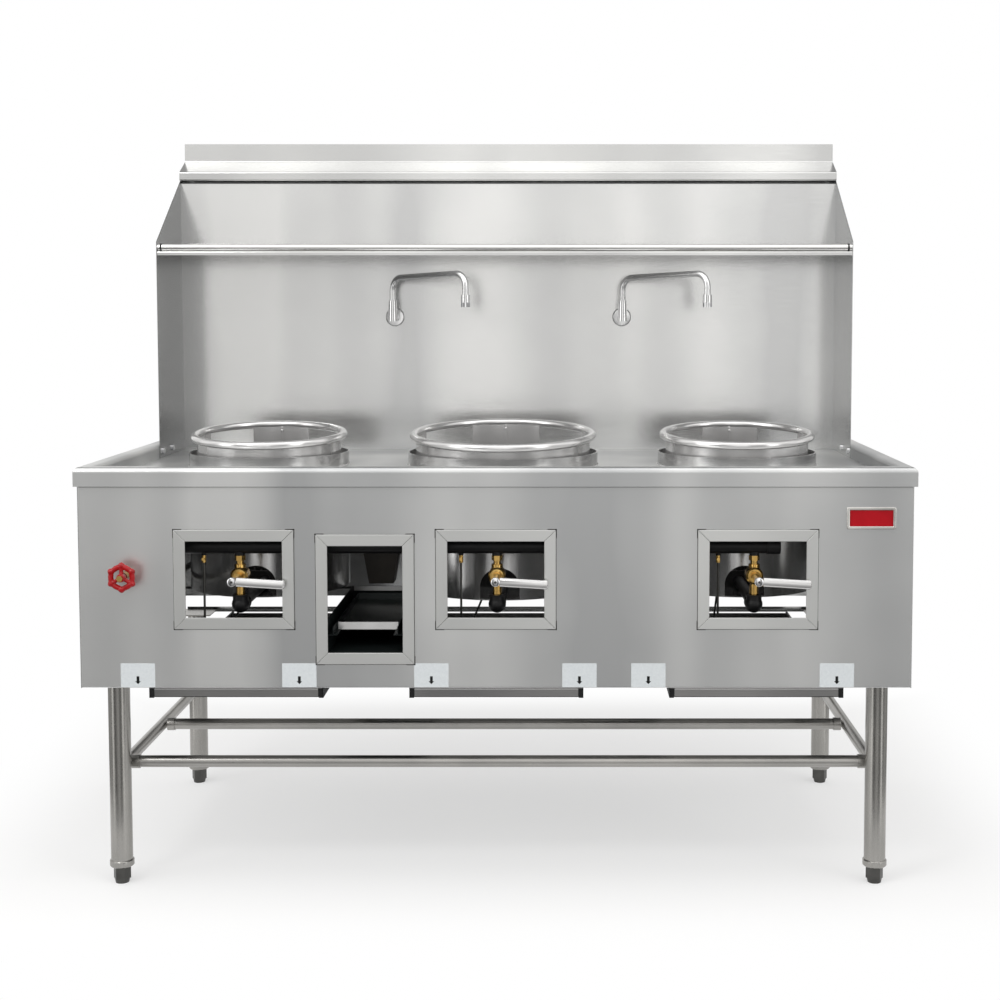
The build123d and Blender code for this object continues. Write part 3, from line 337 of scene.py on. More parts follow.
def addTurned(shape, profile, start, axis, steps=32):
    # a closed turned form: pairs of radius and distance along the axis, radius 0 at both ends
    turn = turnTo(axis)
    rings = []
    for radius, along in profile:
        places = circleAt(start, turn, radius, along, steps)
        rings.append([shape.verts.new(place) for place in (places if radius > 0 else places[:1])])
    for lower, upper in zip(rings, rings[1:]):
        for i in range(steps):
            j = (i + 1) % steps
            corners = (lower[i % len(lower)], lower[j % len(lower)],
                       upper[j % len(upper)], upper[i % len(upper)])
            shape.faces.new(list(dict.fromkeys(corners)))


def joinRows(shape, rows):
    # a skin over closed rows of points, the last joined to the first
    count, across = len(rows), len(rows[0])
    for i in range(count):
        for j in range(across):
            k, m = (i + 1) % count, (j + 1) % across
            shape.faces.new((rows[i][j], rows[k][j], rows[k][m], rows[i][m]))


def addRing(shape, centre, axis, radius, wire, steps=48, wireSteps=10):
    # a round wire ring about an axis
    turn = turnTo(axis)
    rows = []
    for i in range(steps):
        a = i * math.tau / steps
        row = []
        for j in range(wireSteps):
            b = j * math.tau / wireSteps
            reach = radius + wire * math.cos(b)
            row.append(shape.verts.new(Vector(centre) + turn @ Vector((
                reach * math.cos(a), reach * math.sin(a), wire * math.sin(b)))))
        rows.append(row)
    joinRows(shape, rows)


def softEdges(piece, width, segments):
    edge = piece.modifiers.new("softEdge", "BEVEL")
    edge.width = width
    edge.segments = segments
    edge.limit_method = "ANGLE"
    return edge


roundedEdges = {"gas_valve": 0.0007, "valve_lever": 0.0008, "faucet_body": 0.0008, "foot": 0.0012,
                "leg": 0.0006}
edgeFinding = {"merge": 0.000002, "flat": 0.5, "angle": 38}


def roundedCopy(node, width):
    # a CAD piece again with merged points and rounded edges, in that piece's place
    angle, flat = edgeFinding["angle"], math.radians(edgeFinding["flat"])
    shape = bmesh.new()
    shape.from_mesh(nodes[node].data)
    bmesh.ops.remove_doubles(shape, verts=shape.verts, dist=edgeFinding["merge"])
    bmesh.ops.dissolve_limit(shape, angle_limit=flat, verts=shape.verts, edges=shape.edges)
    name = node + "_rounded"
    piece = newPiece(name, meshOf(shape, name, angle), [finishOf[node]], bodyOf[node])
    edge = softEdges(piece, width, 2)
    edge.angle_limit = math.radians(angle)
    edge.harden_normals = True
    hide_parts(node)


ends = ("left", "right")
roundedGroups = ((("gas_valve", "valve_lever"), sides), (("faucet_body",), ends),
                 (("foot", "leg"), ("front_left", "front_right", "back_left", "back_right")))
for stems, places in roundedGroups:
    for place in places:
        for stem in stems:
            roundedCopy(stem + "_" + place, roundedEdges[stem])
print("cast and turned pieces given soft edges")

windowStrips = {"thickness": 0.0025, "width": 0.0254, "mitre": 0.0003, "bevel": 0.0009,
                "seam": 0.0011, "topSeam": 0.00055, "seamDepth": 0.0004, "slotLength": 0.020,
                "slotWidth": 0.0020}


def frameCorners(node):
    low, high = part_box(node)
    return low.x, high.x, low.z, high.z


def buildStrips(shape, node):
    left, right, low, high = frameCorners(node)
    width, gap = windowStrips["width"], windowStrips["mitre"]
    front, back = panelFace - windowStrips["thickness"], panelFace
    for z, inner in ((low, low + width), (high, high - width)):
        addPrism(shape, ((left + gap, z), (right - gap, z), (right - width - gap, inner),
                         (left + width + gap, inner)), front, back)
    for x, inner in ((left, left + width), (right, right - width)):
        addPrism(shape, ((x, low + gap), (x, high - gap), (inner, high - width - gap),
                         (inner, low + width + gap)), front, back, 1)


def buildSeams(shape, node):
    # a dark line where a strip meets the panel, partly the seam's own dark joint and partly painted shadow of
    # the raised strip, and at each corner a dark L of painted shadow where the open notch is
    left, right, low, high = frameCorners(node)
    seam, reach, wide = windowStrips["seam"], windowStrips["slotLength"], windowStrips["slotWidth"]
    front = panelFace - windowStrips["seamDepth"]
    addBlock(shape, (left - seam, front, low - seam), (right + seam, panelFace, low + seam))
    addBlock(shape, (left - seam, front, high - seam),
             (right + seam, panelFace, high + windowStrips["topSeam"]))
    addBlock(shape, (left - seam, front, low), (left + seam, panelFace, high))
    addBlock(shape, (right - seam, front, low), (right + seam, panelFace, high))
    for x, inward in ((left, 1), (right, -1)):
        for z, upward in ((low, 1), (high, -1)):
            outX, outZ = x - inward * wide, z - upward * wide
            addBlock(shape, (min(outX, x), front, min(outZ, outZ + upward * reach)),
                     (max(outX, x), panelFace, max(outZ, outZ + upward * reach)))
            addBlock(shape, (min(outX, outX + inward * reach), front, min(outZ, z)),
                     (max(outX, outX + inward * reach), panelFace, max(outZ, z)))


for place in sides + ("storage",):
    node = "window_frame_" + place
    strips = meshPiece(node + "_strips", lambda shape: buildStrips(shape, node),
                       ["frameSteel", "frameUpright"], bevel=windowStrips["bevel"])
    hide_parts(node)
    meshPiece(node + "_seam", lambda shape: buildSeams(shape, node), ["seamShadow"])
print("window strips mitred")

nameplate = {"x": 0.8155, "z": 0.839, "width": 0.108, "height": 0.049, "rim": 0.0070, "depth": 0.0042,
             "insert": 0.0012, "round": 0.0050, "innerRound": 0.0008, "bevel": 0.0018,
             "insertBevel": 0.0003}


def roundedOutline(inset, steps=6):
    # the plate's outline with round corners, pulled in by the inset
    halfWidth, halfHeight = nameplate["width"] / 2 - inset, nameplate["height"] / 2 - inset
    radius = max(nameplate["round"] - inset, nameplate["innerRound"])
    points = []
    for cornerX, cornerZ, turn in ((1, 1, 0), (-1, 1, 90), (-1, -1, 180), (1, -1, 270)):
        for i in range(steps + 1):
            a = math.radians(turn + 90 * i / steps)
            points.append((nameplate["x"] + cornerX * (halfWidth - radius) + radius * math.cos(a),
                           nameplate["z"] + cornerZ * (halfHeight - radius) + radius * math.sin(a)))
    return points


def buildBezel(shape):
    # a hollow frame: outer and inner outlines joined at the face and at the panel
    outer, inner = roundedOutline(0), roundedOutline(nameplate["rim"])
    face = panelFace - nameplate["depth"]
    loops = ((outer, panelFace), (outer, face), (inner, face), (inner, panelFace))
    joinRows(shape, [[shape.verts.new((x, y, z)) for x, z in outline] for outline, y in loops])


def buildInsert(shape):
    addPrism(shape, roundedOutline(nameplate["rim"]), panelFace - nameplate["insert"], panelFace)


meshPiece("plate_bezel", buildBezel, ["bezelChrome"], bevel=nameplate["bevel"], smooth=30)
meshPiece("plate_insert", buildInsert, ["redInsert"], bevel=nameplate["insertBevel"])

blankLabels = {"centres": (-0.7826, -0.430, -0.1415, 0.182, 0.3326, 0.7444), "width": 0.075, "height": 0.053,
               "level": 0.4934, "thickness": 0.0003, "arrowHead": 0.0118, "arrowStem": 0.0060,
               "arrowHeight": 0.0175, "headHeight": 0.0065, "arrowLevel": -0.0110, "ink": 0.0002}


def buildLabels(shape):
    half, level, tall = blankLabels["width"] / 2, blankLabels["level"], blankLabels["height"] / 2
    for x in blankLabels["centres"]:
        addBlock(shape, (x - half, panelFace - blankLabels["thickness"], level - tall),
                 (x + half, panelFace, level + tall))


def buildArrows(shape):
    # a plain arrow that points down, low on each label
    face = panelFace - blankLabels["thickness"]
    head, stem = blankLabels["arrowHead"] / 2, blankLabels["arrowStem"] / 2
    tip = blankLabels["level"] + blankLabels["arrowLevel"] - blankLabels["arrowHeight"] / 2
    neck, top = tip + blankLabels["headHeight"], tip + blankLabels["arrowHeight"]
    for x in blankLabels["centres"]:
        outline = ((x, tip), (x + head, neck), (x + stem, neck), (x + stem, top),
                   (x - stem, top), (x - stem, neck), (x - head, neck))
        addPrism(shape, outline, face - blankLabels["ink"], face)


meshPiece("blank_labels", buildLabels, ["blankLabel"])
meshPiece("label_arrows", buildArrows, ["blackInk"])
print("plain plate and blank labels made")

wheelCasting = {"lobes": 6, "rim": 0.0232, "rimSwell": 0.0028, "wire": 0.0060, "lobeWire": 0.0016,
                "fromBack": 0.0062, "flatness": 0.95, "steps": 120, "wireSteps": 14,
                "spokes": (90, 210, 330), "spokeWire": 0.0042, "rootFlare": 1.2, "tipFlare": 1.25,
                "spokeEnd": 0.0005, "spokeStart": 0.004, "spokeDrop": 0.001, "spokeLength": 0.020,
                "hubRadius": 0.0090, "hubCrown": 0.86, "hubRound": 0.0016, "hubShort": 0.0004,
                "hubInset": 0.0003, "voxel": 0.0007, "softenBy": 0.5, "soften": 4}


def buildWheel(shape):
    # rim with six swellings, three spokes and a hub, to be melted into one casting
    low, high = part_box("handwheel")
    centre = (low + high) / 2
    rimY = high.y - wheelCasting["fromBack"]
    steps, wireSteps = wheelCasting["steps"], wheelCasting["wireSteps"]
    rows = []
    for i in range(steps):
        a = math.tau * i / steps
        swell = max(0.0, math.cos(wheelCasting["lobes"] * (a - math.pi / 2)))
        reach = wheelCasting["rim"] + wheelCasting["rimSwell"] * swell
        wire = wheelCasting["wire"] + wheelCasting["lobeWire"] * swell ** 2
        row = []
        for j in range(wireSteps):
            b = math.tau * j / wireSteps
            out = reach + wire * math.cos(b)
            row.append(shape.verts.new((centre.x + out * math.cos(a),
                                        rimY + wire * wheelCasting["flatness"] * math.sin(b),
                                        centre.z + out * math.sin(a))))
        rows.append(row)
    joinRows(shape, rows)
    wire, length, end = wheelCasting["spokeWire"], wheelCasting["spokeLength"], wheelCasting["spokeEnd"]
    for angle in wheelCasting["spokes"]:
        a = math.radians(angle)
        out = Vector((math.cos(a), 0, math.sin(a)))
        middleOfRim = Vector((centre.x, rimY - wheelCasting["spokeDrop"], centre.z))
        start = middleOfRim + out * wheelCasting["spokeStart"]
        addTurned(shape, ((0, 0), (wire * wheelCasting["rootFlare"], end), (wire, length / 2),
                          (wire * wheelCasting["tipFlare"], length), (0, length + end)), start, out, steps=16)
    radius, front = wheelCasting["hubRadius"], low.y + wheelCasting["hubInset"]
    depth = high.y - front
    addTurned(shape, ((0, 0), (radius * wheelCasting["hubCrown"], 0), (radius, wheelCasting["hubRound"]),
                      (radius, depth - wheelCasting["hubShort"]), (0, depth - wheelCasting["hubShort"] / 2)),
              (centre.x, front, centre.z), (0, 1, 0), steps=40)


def castPiece(name, build, finish, node, look):
    # overlapping forms melted together, as a casting's are
    piece = inScene(name, builtMesh(name + "Rough", build))
    melt = piece.modifiers.new("melt", "REMESH")
    melt.mode = "VOXEL"
    melt.voxel_size = look["voxel"]
    ease = piece.modifiers.new("ease", "SMOOTH")
    ease.factor = look["softenBy"]
    ease.iterations = look["soften"]
    mesh = settledMesh(piece)
    piece.modifiers.clear()
    piece.data = mesh
    mesh.materials.clear()
    mesh.materials.append(materials[finish])
    mesh.shade_smooth()
    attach(piece, bodyOf[node])
    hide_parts(node)


castPiece("handwheel_casting", buildWheel, "redEnamel", "handwheel", wheelCasting)
stemNut = {"radius": 0.0046, "height": 0.0012, "crown": 0.8, "inset": 0.0001, "bevel": 0.0002}


def headProfile(radius, height, crown):
    # a low head: narrower at its face, full from half its height on
    return ((0, 0), (radius * crown, 0), (radius, height / 2), (radius, height), (0, height))


def buildStemNut(shape):
    # a small brass nut on the end of the stem
    centre = middle("handwheel_stem")
    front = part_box("handwheel_stem")[0].y + stemNut["inset"]
    addTurned(shape, headProfile(stemNut["radius"], stemNut["height"], stemNut["crown"]),
              (centre.x, front, centre.z), (0, 1, 0), steps=6)


meshPiece("stem_nut", buildStemNut, ["brass"], "handwheel", bevel=stemNut["bevel"])
print("handwheel cast")

leverHub = {"inset": 0.0095, "seat": 0.0010, "capRadius": 0.0088, "capHeight": 0.0016, "shoulder": 0.4,
            "crown": 0.8, "screw": 0.0030, "screwHeight": 0.0007, "sunk": 0.0002, "knurls": 24,
            "knurlRadius": 0.0094, "knurlSeat": 0.0032, "knurlBar": (0.0012, 0.0011, 0.0030)}
plateRib = {"width": 0.0050, "depth": 0.0030, "below": 0.020, "above": 0.003, "sunk": 0.0005, "bevel": 0.0006,
            "screw": 0.0035, "screwHeight": 0.0020, "screwCrown": 0.7, "screwDrop": 0.006,
            "tubeRadius": 0.0095, "skirtInset": 0.019, "wall": 0.0025}
tubeBand = {"fromEnd": (0.0070, 0.0112), "proud": 0.0009}
elbowRim = {"radius": 0.0172, "wire": 0.0016, "pipeRadius": 0.0195, "rise": 0.0205, "back": 0.0270}


def hubCentre(side, depth):
    # the middle of a lever's hub, some way behind its front
    low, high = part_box("valve_lever_" + side)
    return Vector((low.x + leverHub["inset"], low.y + depth, high.z - leverHub["inset"]))


def buildHubCap(shape, side):
    radius, height, sunk = leverHub["capRadius"], leverHub["capHeight"], leverHub["sunk"]
    addTurned(shape, ((0, -height), (radius * leverHub["crown"], -height),
                      (radius, -height * leverHub["shoulder"]), (radius, sunk), (0, sunk * 1.5)),
              hubCentre(side, leverHub["seat"]), (0, 1, 0), steps=28)


def buildHubScrew(shape, side):
    radius, height, sunk = leverHub["screw"], leverHub["screwHeight"], leverHub["sunk"]
    addTurned(shape, ((0, -height), (radius * leverHub["crown"], -height), (radius, sunk), (0, sunk * 1.5)),
              hubCentre(side, leverHub["seat"] - leverHub["capHeight"]), (0, 1, 0), steps=20)


def buildPlateRib(shape, side):
    # the small upright and its screw on the plate behind each ring
    drumLow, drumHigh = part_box("chamber_" + side)
    centre = middle("chamber_" + side)
    plateFace = centre.y + (drumHigh.x - drumLow.x) / 2 - plateRib["skirtInset"] - plateRib["wall"]
    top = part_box("wok_ring_" + side)[1].z - 2 * plateRib["tubeRadius"]
    half, face = plateRib["width"] / 2, plateFace - plateRib["depth"]
    addBlock(shape, (centre.x - half, face, drumHigh.z - plateRib["below"]),
             (centre.x + half, plateFace + plateRib["sunk"], top + plateRib["above"]))
    height = plateRib["screwHeight"]
    addTurned(shape, headProfile(plateRib["screw"], height, plateRib["screwCrown"]),
              (centre.x, face - height, top - plateRib["screwDrop"]), (0, 1, 0), steps=20)


for side in sides:
    lever, ring = "valve_lever_" + side, "wok_ring_" + side
    meshPiece("hub_cap_" + side, lambda shape: buildHubCap(shape, side), ["chrome"], lever,
              smooth=30)
    meshPiece("hub_screw_" + side, lambda shape: buildHubScrew(shape, side), ["footSteel"], lever, smooth=30)
    meshPiece("plate_rib_" + side, lambda shape: buildPlateRib(shape, side), ["ringSteel"], ring,
              bevel=plateRib["bevel"])


def buildTubeBands(shape):
    low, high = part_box("shelf_tube")
    centre, radius = (low + high) / 2, (high.z - low.z) / 2 + tubeBand["proud"]
    near, far = tubeBand["fromEnd"]
    for end, inward in ((low.x, 1), (high.x, -1)):
        addTurned(shape, ((0, 0), (radius, 0), (radius, far - near), (0, far - near)),
                  (end + inward * near, centre.y, centre.z), (inward, 0, 0), steps=40)


def buildElbowRims(shape):
    # a rolled rim at both mouths of each elbow under a valve
    level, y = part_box("burner_feeds")[0].z + elbowRim["pipeRadius"], middle("gas_manifold").y
    for side in sides:
        x = middle("gas_valve_" + side).x
        addRing(shape, (x, y, level + elbowRim["rise"]), (0, 0, 1), elbowRim["radius"], elbowRim["wire"])
        addRing(shape, (x, y + elbowRim["back"], level), (0, 1, 0), elbowRim["radius"], elbowRim["wire"])


trayTrim = {"cap": 0.0095, "proud": 0.0012, "reach": 0.010, "foot": 0.0016, "footProud": 0.0004,
            "lip": 0.0016, "lipProud": 0.0008, "lipSunk": 0.0004, "shadow": 0.0024, "capBevel": 0.0005,
            "lipBevel": 0.0004}


def buildTrayCaps(shape, side):
    # dark corner pieces at the ends of a drip tray's front, and the dark line along its foot
    low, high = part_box("drip_tray_" + side)
    cap, back = trayTrim["cap"], low.y + trayTrim["reach"]
    for x in (low.x, high.x - cap):
        addBlock(shape, (x, low.y - trayTrim["proud"], low.z), (x + cap, back, high.z - trayTrim["lip"]))
    addBlock(shape, (low.x + cap, low.y - trayTrim["footProud"], low.z),
             (high.x - cap, back, low.z + trayTrim["foot"]))


def buildTrayLip(shape, side):
    low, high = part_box("drip_tray_" + side)
    cap, top = trayTrim["cap"], high.z - trayTrim["shadow"]
    addBlock(shape, (low.x + cap, low.y - trayTrim["lipProud"], top - trayTrim["lip"]),
             (high.x - cap, low.y + trayTrim["lipSunk"], top))


for side in sides:
    tray = "drip_tray_" + side
    meshPiece("tray_caps_" + side, lambda shape: buildTrayCaps(shape, side), ["blackPipe"], tray,
              bevel=trayTrim["capBevel"])
    meshPiece("tray_lip_" + side, lambda shape: buildTrayLip(shape, side), ["ringSteel"], tray,
              bevel=trayTrim["lipBevel"])

railSeam = {"height": 0.0016, "depth": 0.0016, "inset": 0.002}
bayStrip = {"height": 0.0115, "thickness": 0.0012, "inset": 0.0015, "behind": 0.0005}
storageLip = {"inset": 0.0030, "thickness": 0.0006, "fold": 0.0030, "foot": 0.001, "bevel": 0.0003}


def buildRailSeam(shape):
    # the gap under the folded edge of the deck, drawn as a dark strip: painted shadow
    level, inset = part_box("top_deck")[0].z, railSeam["inset"]
    addBlock(shape, (panelLeft + inset, panelFace - railSeam["depth"], level - railSeam["height"]),
             (panelRight - inset, panelFace, level))


def buildBayStrip(shape):
    # a bright folded edge along the top of the bay's back plate
    windowLow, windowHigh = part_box("window_frame_storage")
    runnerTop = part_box("tray_runners")[1].z
    half = (windowHigh.x - windowLow.x) / 2 - windowStrips["width"] - bayStrip["inset"]
    centre = middle("window_frame_storage").x
    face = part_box("storage_tray")[1].y + bayStrip["behind"]
    addBlock(shape, (centre - half, face - bayStrip["thickness"], runnerTop - bayStrip["height"]),
             (centre + half, face, runnerTop))


def buildStorageLip(shape):
    # the bright folded front of the storage tray
    low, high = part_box("storage_tray")
    left, right, thick = low.x + storageLip["inset"], high.x - storageLip["inset"], storageLip["thickness"]
    addBlock(shape, (left, low.y - thick, low.z + storageLip["foot"]), (right, low.y + thick, high.z))
    addBlock(shape, (left, low.y - thick, high.z), (right, low.y + storageLip["fold"], high.z + thick))


meshPiece("storage_tray_lip", buildStorageLip, ["ringSteel"], "storage_tray", bevel=storageLip["bevel"])
meshPiece("bay_strip", buildBayStrip, ["ringSteel"], bevel=storageLip["bevel"])
meshPiece("rail_seam", buildRailSeam, ["seamShadow"])
meshPiece("tube_end_bands", buildTubeBands, ["blackPipe"], smooth=30)
meshPiece("elbow_rims", buildElbowRims, ["blackPipe"], smooth=60)
print("small turned pieces made")


def newTree(name, sizes):
    # a Geometry Nodes tree with one named input for each size
    tree = bpy.data.node_groups.new(name, "GeometryNodeTree")
    tree.interface.new_socket("Geometry", in_out="OUTPUT", socket_type="NodeSocketGeometry")
    tree.interface.new_socket("Geometry", in_out="INPUT", socket_type="NodeSocketGeometry")
    for label, kind in sizes.items():
        tree.interface.new_socket(label, in_out="INPUT", socket_type="NodeSocket" + kind)
    return tree, tree.nodes.new("NodeGroupInput")


def addNode(tree, kind, values=None, links=None):
    node = tree.nodes.new(kind)
    for socket, value in (values or {}).items():
        node.inputs[socket].default_value = value
    for socket, (source, output) in (links or {}).items():
        tree.links.new(source.outputs[output], node.inputs[socket])
    return node


def closeTree(tree, given, source, smooth):
    # instances made real and given their finish, because the export drops instances
    real = addNode(tree, "GeometryNodeRealizeInstances", links={"Geometry": source})
    shaded = addNode(tree, "GeometryNodeSetShadeSmooth", {"Shade Smooth": smooth}, {"Geometry": (real, 0)})
    coated = addNode(tree, "GeometryNodeSetMaterial",
                     links={"Geometry": (shaded, 0), "Material": (given, "Finish")})
    result = tree.nodes.new("NodeGroupOutput")
    tree.links.new(coated.outputs[0], result.inputs[0])
    return tree


def circleOf(tree, steps, given, radius):
    return addNode(tree, "GeometryNodeCurvePrimitiveCircle", {"Resolution": steps},
                   {"Radius": (given, radius)})


def turnedBy(tree, source, given):
    return addNode(tree, "GeometryNodeTransform",
                   links={"Geometry": (source, 0), "Rotation": (given, "Facing")})


def placedOn(tree, points, instance, links=None):
    return addNode(tree, "GeometryNodeInstanceOnPoints",
                   links={"Points": (points, 0), "Instance": (instance, 0), **(links or {})})


def screwTree():
    # a low round head at every point
    tree, given = newTree("screwHeads", {"Head radius": "Float", "Head height": "Float", "Crown": "Float",
                                         "Facing": "Vector", "Finish": "Material"})
    crown = addNode(tree, "ShaderNodeMath", links={0: (given, "Head radius"), 1: (given, "Crown")})
    crown.operation = "MULTIPLY"
    head = addNode(tree, "GeometryNodeMeshCone", {"Vertices": 20},
                   {"Radius Bottom": (given, "Head radius"), "Radius Top": (crown, 0),
                    "Depth": (given, "Head height")})
    return closeTree(tree, given, (placedOn(tree, given, turnedBy(tree, head, given)), 0), False)


def ridgeTree():
    # wire rings in a row along a thread
    tree, given = newTree("threadRidges", {"Count": "Int", "Ring radius": "Float", "Wire radius": "Float",
                                           "Start": "Vector", "Step": "Vector", "Facing": "Vector",
                                           "Finish": "Material"})
    line = addNode(tree, "GeometryNodeMeshLine",
                   links={"Count": (given, "Count"), "Start Location": (given, "Start"),
                          "Offset": (given, "Step")})
    ring, wire = circleOf(tree, 40, given, "Ring radius"), circleOf(tree, 6, given, "Wire radius")
    swept = addNode(tree, "GeometryNodeCurveToMesh", links={"Curve": (ring, 0), "Profile Curve": (wire, 0)})
    return closeTree(tree, given, (placedOn(tree, line, turnedBy(tree, swept, given)), 0), True)


def weldTree():
    # overlapping ripples of weld along a path, each a little larger or smaller
    tree, given = newTree("weldRipples", {"Ripple length": "Float", "Ripple radius": "Float",
                                          "Smallest": "Float", "Largest": "Float", "Seed": "Int",
                                          "Finish": "Material"})
    path = addNode(tree, "GeometryNodeMeshToCurve", links={"Mesh": (given, 0)})
    even = addNode(tree, "GeometryNodeResampleCurve", links={"Curve": (path, 0)})
    even.mode = "LENGTH"
    tree.links.new(given.outputs["Ripple length"], even.inputs[3])
    bead = addNode(tree, "GeometryNodeMeshIcoSphere", {"Subdivisions": 2},
                   {"Radius": (given, "Ripple radius")})
    vary = addNode(tree, "FunctionNodeRandomValue",
                   links={2: (given, "Smallest"), 3: (given, "Largest"), "Seed": (given, "Seed")})
    return closeTree(tree, given, (placedOn(tree, even, bead, {"Scale": (vary, 1)}), 0), True)


def joined(tree, *parts):
    whole = tree.nodes.new("GeometryNodeJoinGeometry")
    for part in parts:
        tree.links.new(part.outputs[0], whole.inputs[0])
    return whole


def strainerTree():
    # a thin disc with a round hole at every point
    tree, given = newTree("drainStrainer", {"Disc radius": "Float", "Hole radius": "Float",
                                            "Thickness": "Float", "Finish": "Material"})
    rim, hole = circleOf(tree, 64, given, "Disc radius"), circleOf(tree, 12, given, "Hole radius")
    holes = placedOn(tree, given, hole)
    real = addNode(tree, "GeometryNodeRealizeInstances", links={"Geometry": (holes, 0)})
    sheet = addNode(tree, "GeometryNodeFillCurve", links={"Curve": (joined(tree, rim, real), 0)})
    grown = addNode(tree, "GeometryNodeExtrudeMesh", {"Individual": False},
                    {"Mesh": (sheet, 0), "Offset Scale": (given, "Thickness")})
    under = addNode(tree, "GeometryNodeFlipFaces", links={"Mesh": (sheet, 0)})
    merged = addNode(tree, "GeometryNodeMergeByDistance", {"Distance": 0.00001},
                     {"Geometry": (joined(tree, grown, under), 0)})
    return closeTree(tree, given, (merged, 0), False)


def knurlTree():
    # small bars round a rim, each turned outwards
    tree, given = newTree("rimKnurls", {"Count": "Int", "Rim radius": "Float", "Bar": "Vector",
                                        "Centre": "Vector", "Facing": "Vector", "Finish": "Material"})
    rim = addNode(tree, "GeometryNodeMeshCircle",
                  links={"Vertices": (given, "Count"), "Radius": (given, "Rim radius")})
    bar = addNode(tree, "GeometryNodeMeshCube", links={"Size": (given, "Bar")})
    place = tree.nodes.new("GeometryNodeInputPosition")
    outward = addNode(tree, "FunctionNodeAlignRotationToVector", links={"Vector": (place, 0)})
    outward.axis = "X"
    turned = turnedBy(tree, placedOn(tree, rim, bar, {"Rotation": (outward, 0)}), given)
    tree.links.new(given.outputs["Centre"], turned.inputs["Translation"])
    return closeTree(tree, given, (turned, 0), False)


def treePiece(name, tree, finish, sizes, points=((0, 0, 0),), edges=(), body="range"):
    # runs a tree over the points, and keeps the result as a plain mesh
    carrier = bpy.data.meshes.new(name + "Points")
    carrier.from_pydata(points, edges, [])
    piece = inScene(name, carrier)
    maker = piece.modifiers.new("maker", "NODES")
    maker.node_group = tree
    sizes = {**sizes, "Finish": materials[finish]}
    for socket in tree.interface.items_tree:
        if socket.in_out == "INPUT" and socket.name in sizes:
            maker[socket.identifier] = sizes[socket.name]
    mesh = settledMesh(piece)
    piece.modifiers.remove(maker)
    piece.data = mesh
    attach(piece, body)
    print(name, len(mesh.polygons), "faces")
    return piece


screws, ridges, welds, strainer, knurls = screwTree(), ridgeTree(), weldTree(), strainerTree(), knurlTree()
toBack, toFront = (-math.pi / 2, 0, 0), (math.pi / 2, 0, 0)

backScrews = {"radius": 0.0050, "height": 0.0022, "crown": 0.6, "inset": 0.016, "spacing": 0.190}


def screwRows(node):
    # along the top and bottom of a sheet on the back
    low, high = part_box(node)
    inset = backScrews["inset"]
    count = max(2, round((high.x - low.x - 2 * inset) / backScrews["spacing"]) + 1)
    step = (high.x - low.x - 2 * inset) / (count - 1)
    return [(low.x + inset + i * step, high.y, z)
            for z in (low.z + inset, high.z - inset) for i in range(count)]


treePiece("back_screws", screws, "chrome",
          {"Head radius": backScrews["radius"], "Head height": backScrews["height"],
           "Crown": backScrews["crown"], "Facing": toBack},
          screwRows("back_panel") + screwRows("riser_back"))

thread = {"pitch": 0.0018, "wire": 0.0005, "length": 0.023, "gasRadius": 0.0160, "gasPipe": 0.0167,
          "waterRadius": 0.0105}
gasLow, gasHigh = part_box("gas_inlet_pipe")
waterLow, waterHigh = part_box("water_inlet_pipe")
inletThreads = (
    ("gas_thread", "gas_inlet_pipe", thread["gasRadius"], "blackPipe",
     Vector((gasLow.x + thread["gasPipe"], gasHigh.y, gasHigh.z - thread["gasPipe"]))),
    ("water_thread", "water_inlet_pipe", thread["waterRadius"], "tubeSteel",
     Vector((middle("water_inlet_pipe").x, waterHigh.y, waterLow.z + thread["waterRadius"]))),
)
for name, node, radius, finish, end in inletThreads:
    treePiece(name, ridges, finish,
              {"Count": int(thread["length"] / thread["pitch"]), "Ring radius": radius,
               "Wire radius": thread["wire"], "Facing": toFront,
               "Start": end + Vector((0, -2 * thread["wire"], 0)), "Step": (0, -thread["pitch"], 0)})

for side in sides:
    treePiece("hub_knurl_" + side, knurls, "chrome",
              {"Count": leverHub["knurls"], "Rim radius": leverHub["knurlRadius"],
               "Bar": leverHub["knurlBar"], "Facing": toFront,
               "Centre": hubCentre(side, leverHub["knurlSeat"])},
              body="valve_lever_" + side)
tipGrip = {"count": 20, "bar": (0.0010, 0.0016, 0.0130), "radius": 0.0113, "inset": 0.0115, "rise": 0.0100}
for side in ends:
    low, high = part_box("spout_" + side)
    tip = (high.x - tipGrip["inset"], low.y + tipGrip["inset"], low.z + tipGrip["rise"])
    treePiece("spout_tip_grip_" + side, knurls, "chrome",
              {"Count": tipGrip["count"], "Rim radius": tipGrip["radius"], "Bar": tipGrip["bar"],
               "Facing": (0, 0, 0), "Centre": tip}, body="spout_" + side)

strainerDisc = {"radius": 0.0352, "hole": 0.0026, "pitch": 0.0085, "rim": 0.006, "thickness": 0.0015,
                "below": 0.0030}


def strainerHoles():
    # a hexagonal spread of holes inside the disc
    reach, pitch = strainerDisc["radius"] - strainerDisc["rim"], strainerDisc["pitch"]
    rows = int(reach / pitch) + 1
    spots = []
    for i in range(-rows, rows + 1):
        for j in range(-rows, rows + 1):
            x, y = (i + 0.5 * (j % 2)) * pitch, j * pitch * math.sin(math.pi / 3)
            if math.hypot(x, y) < reach:
                spots.append((x, y, 0))
    return spots


drain = middle("drain_chute")
drainDisc = treePiece("drain_strainer", strainer, "chrome",
                      {"Disc radius": strainerDisc["radius"], "Hole radius": strainerDisc["hole"],
                       "Thickness": strainerDisc["thickness"]}, strainerHoles())
drainDisc.data.transform(Matrix.Translation((drain.x, drain.y, deckTop - strainerDisc["below"])))

weldBead = {"length": 0.0026, "radius": 0.0017, "vary": (0.85, 1.15), "seed": 7, "endTube": 0.0159,
            "longTube": 0.0102, "jointRadius": 0.0135, "curbScale": 0.8, "curbOut": 0.0006,
            "curbUp": 0.0002}


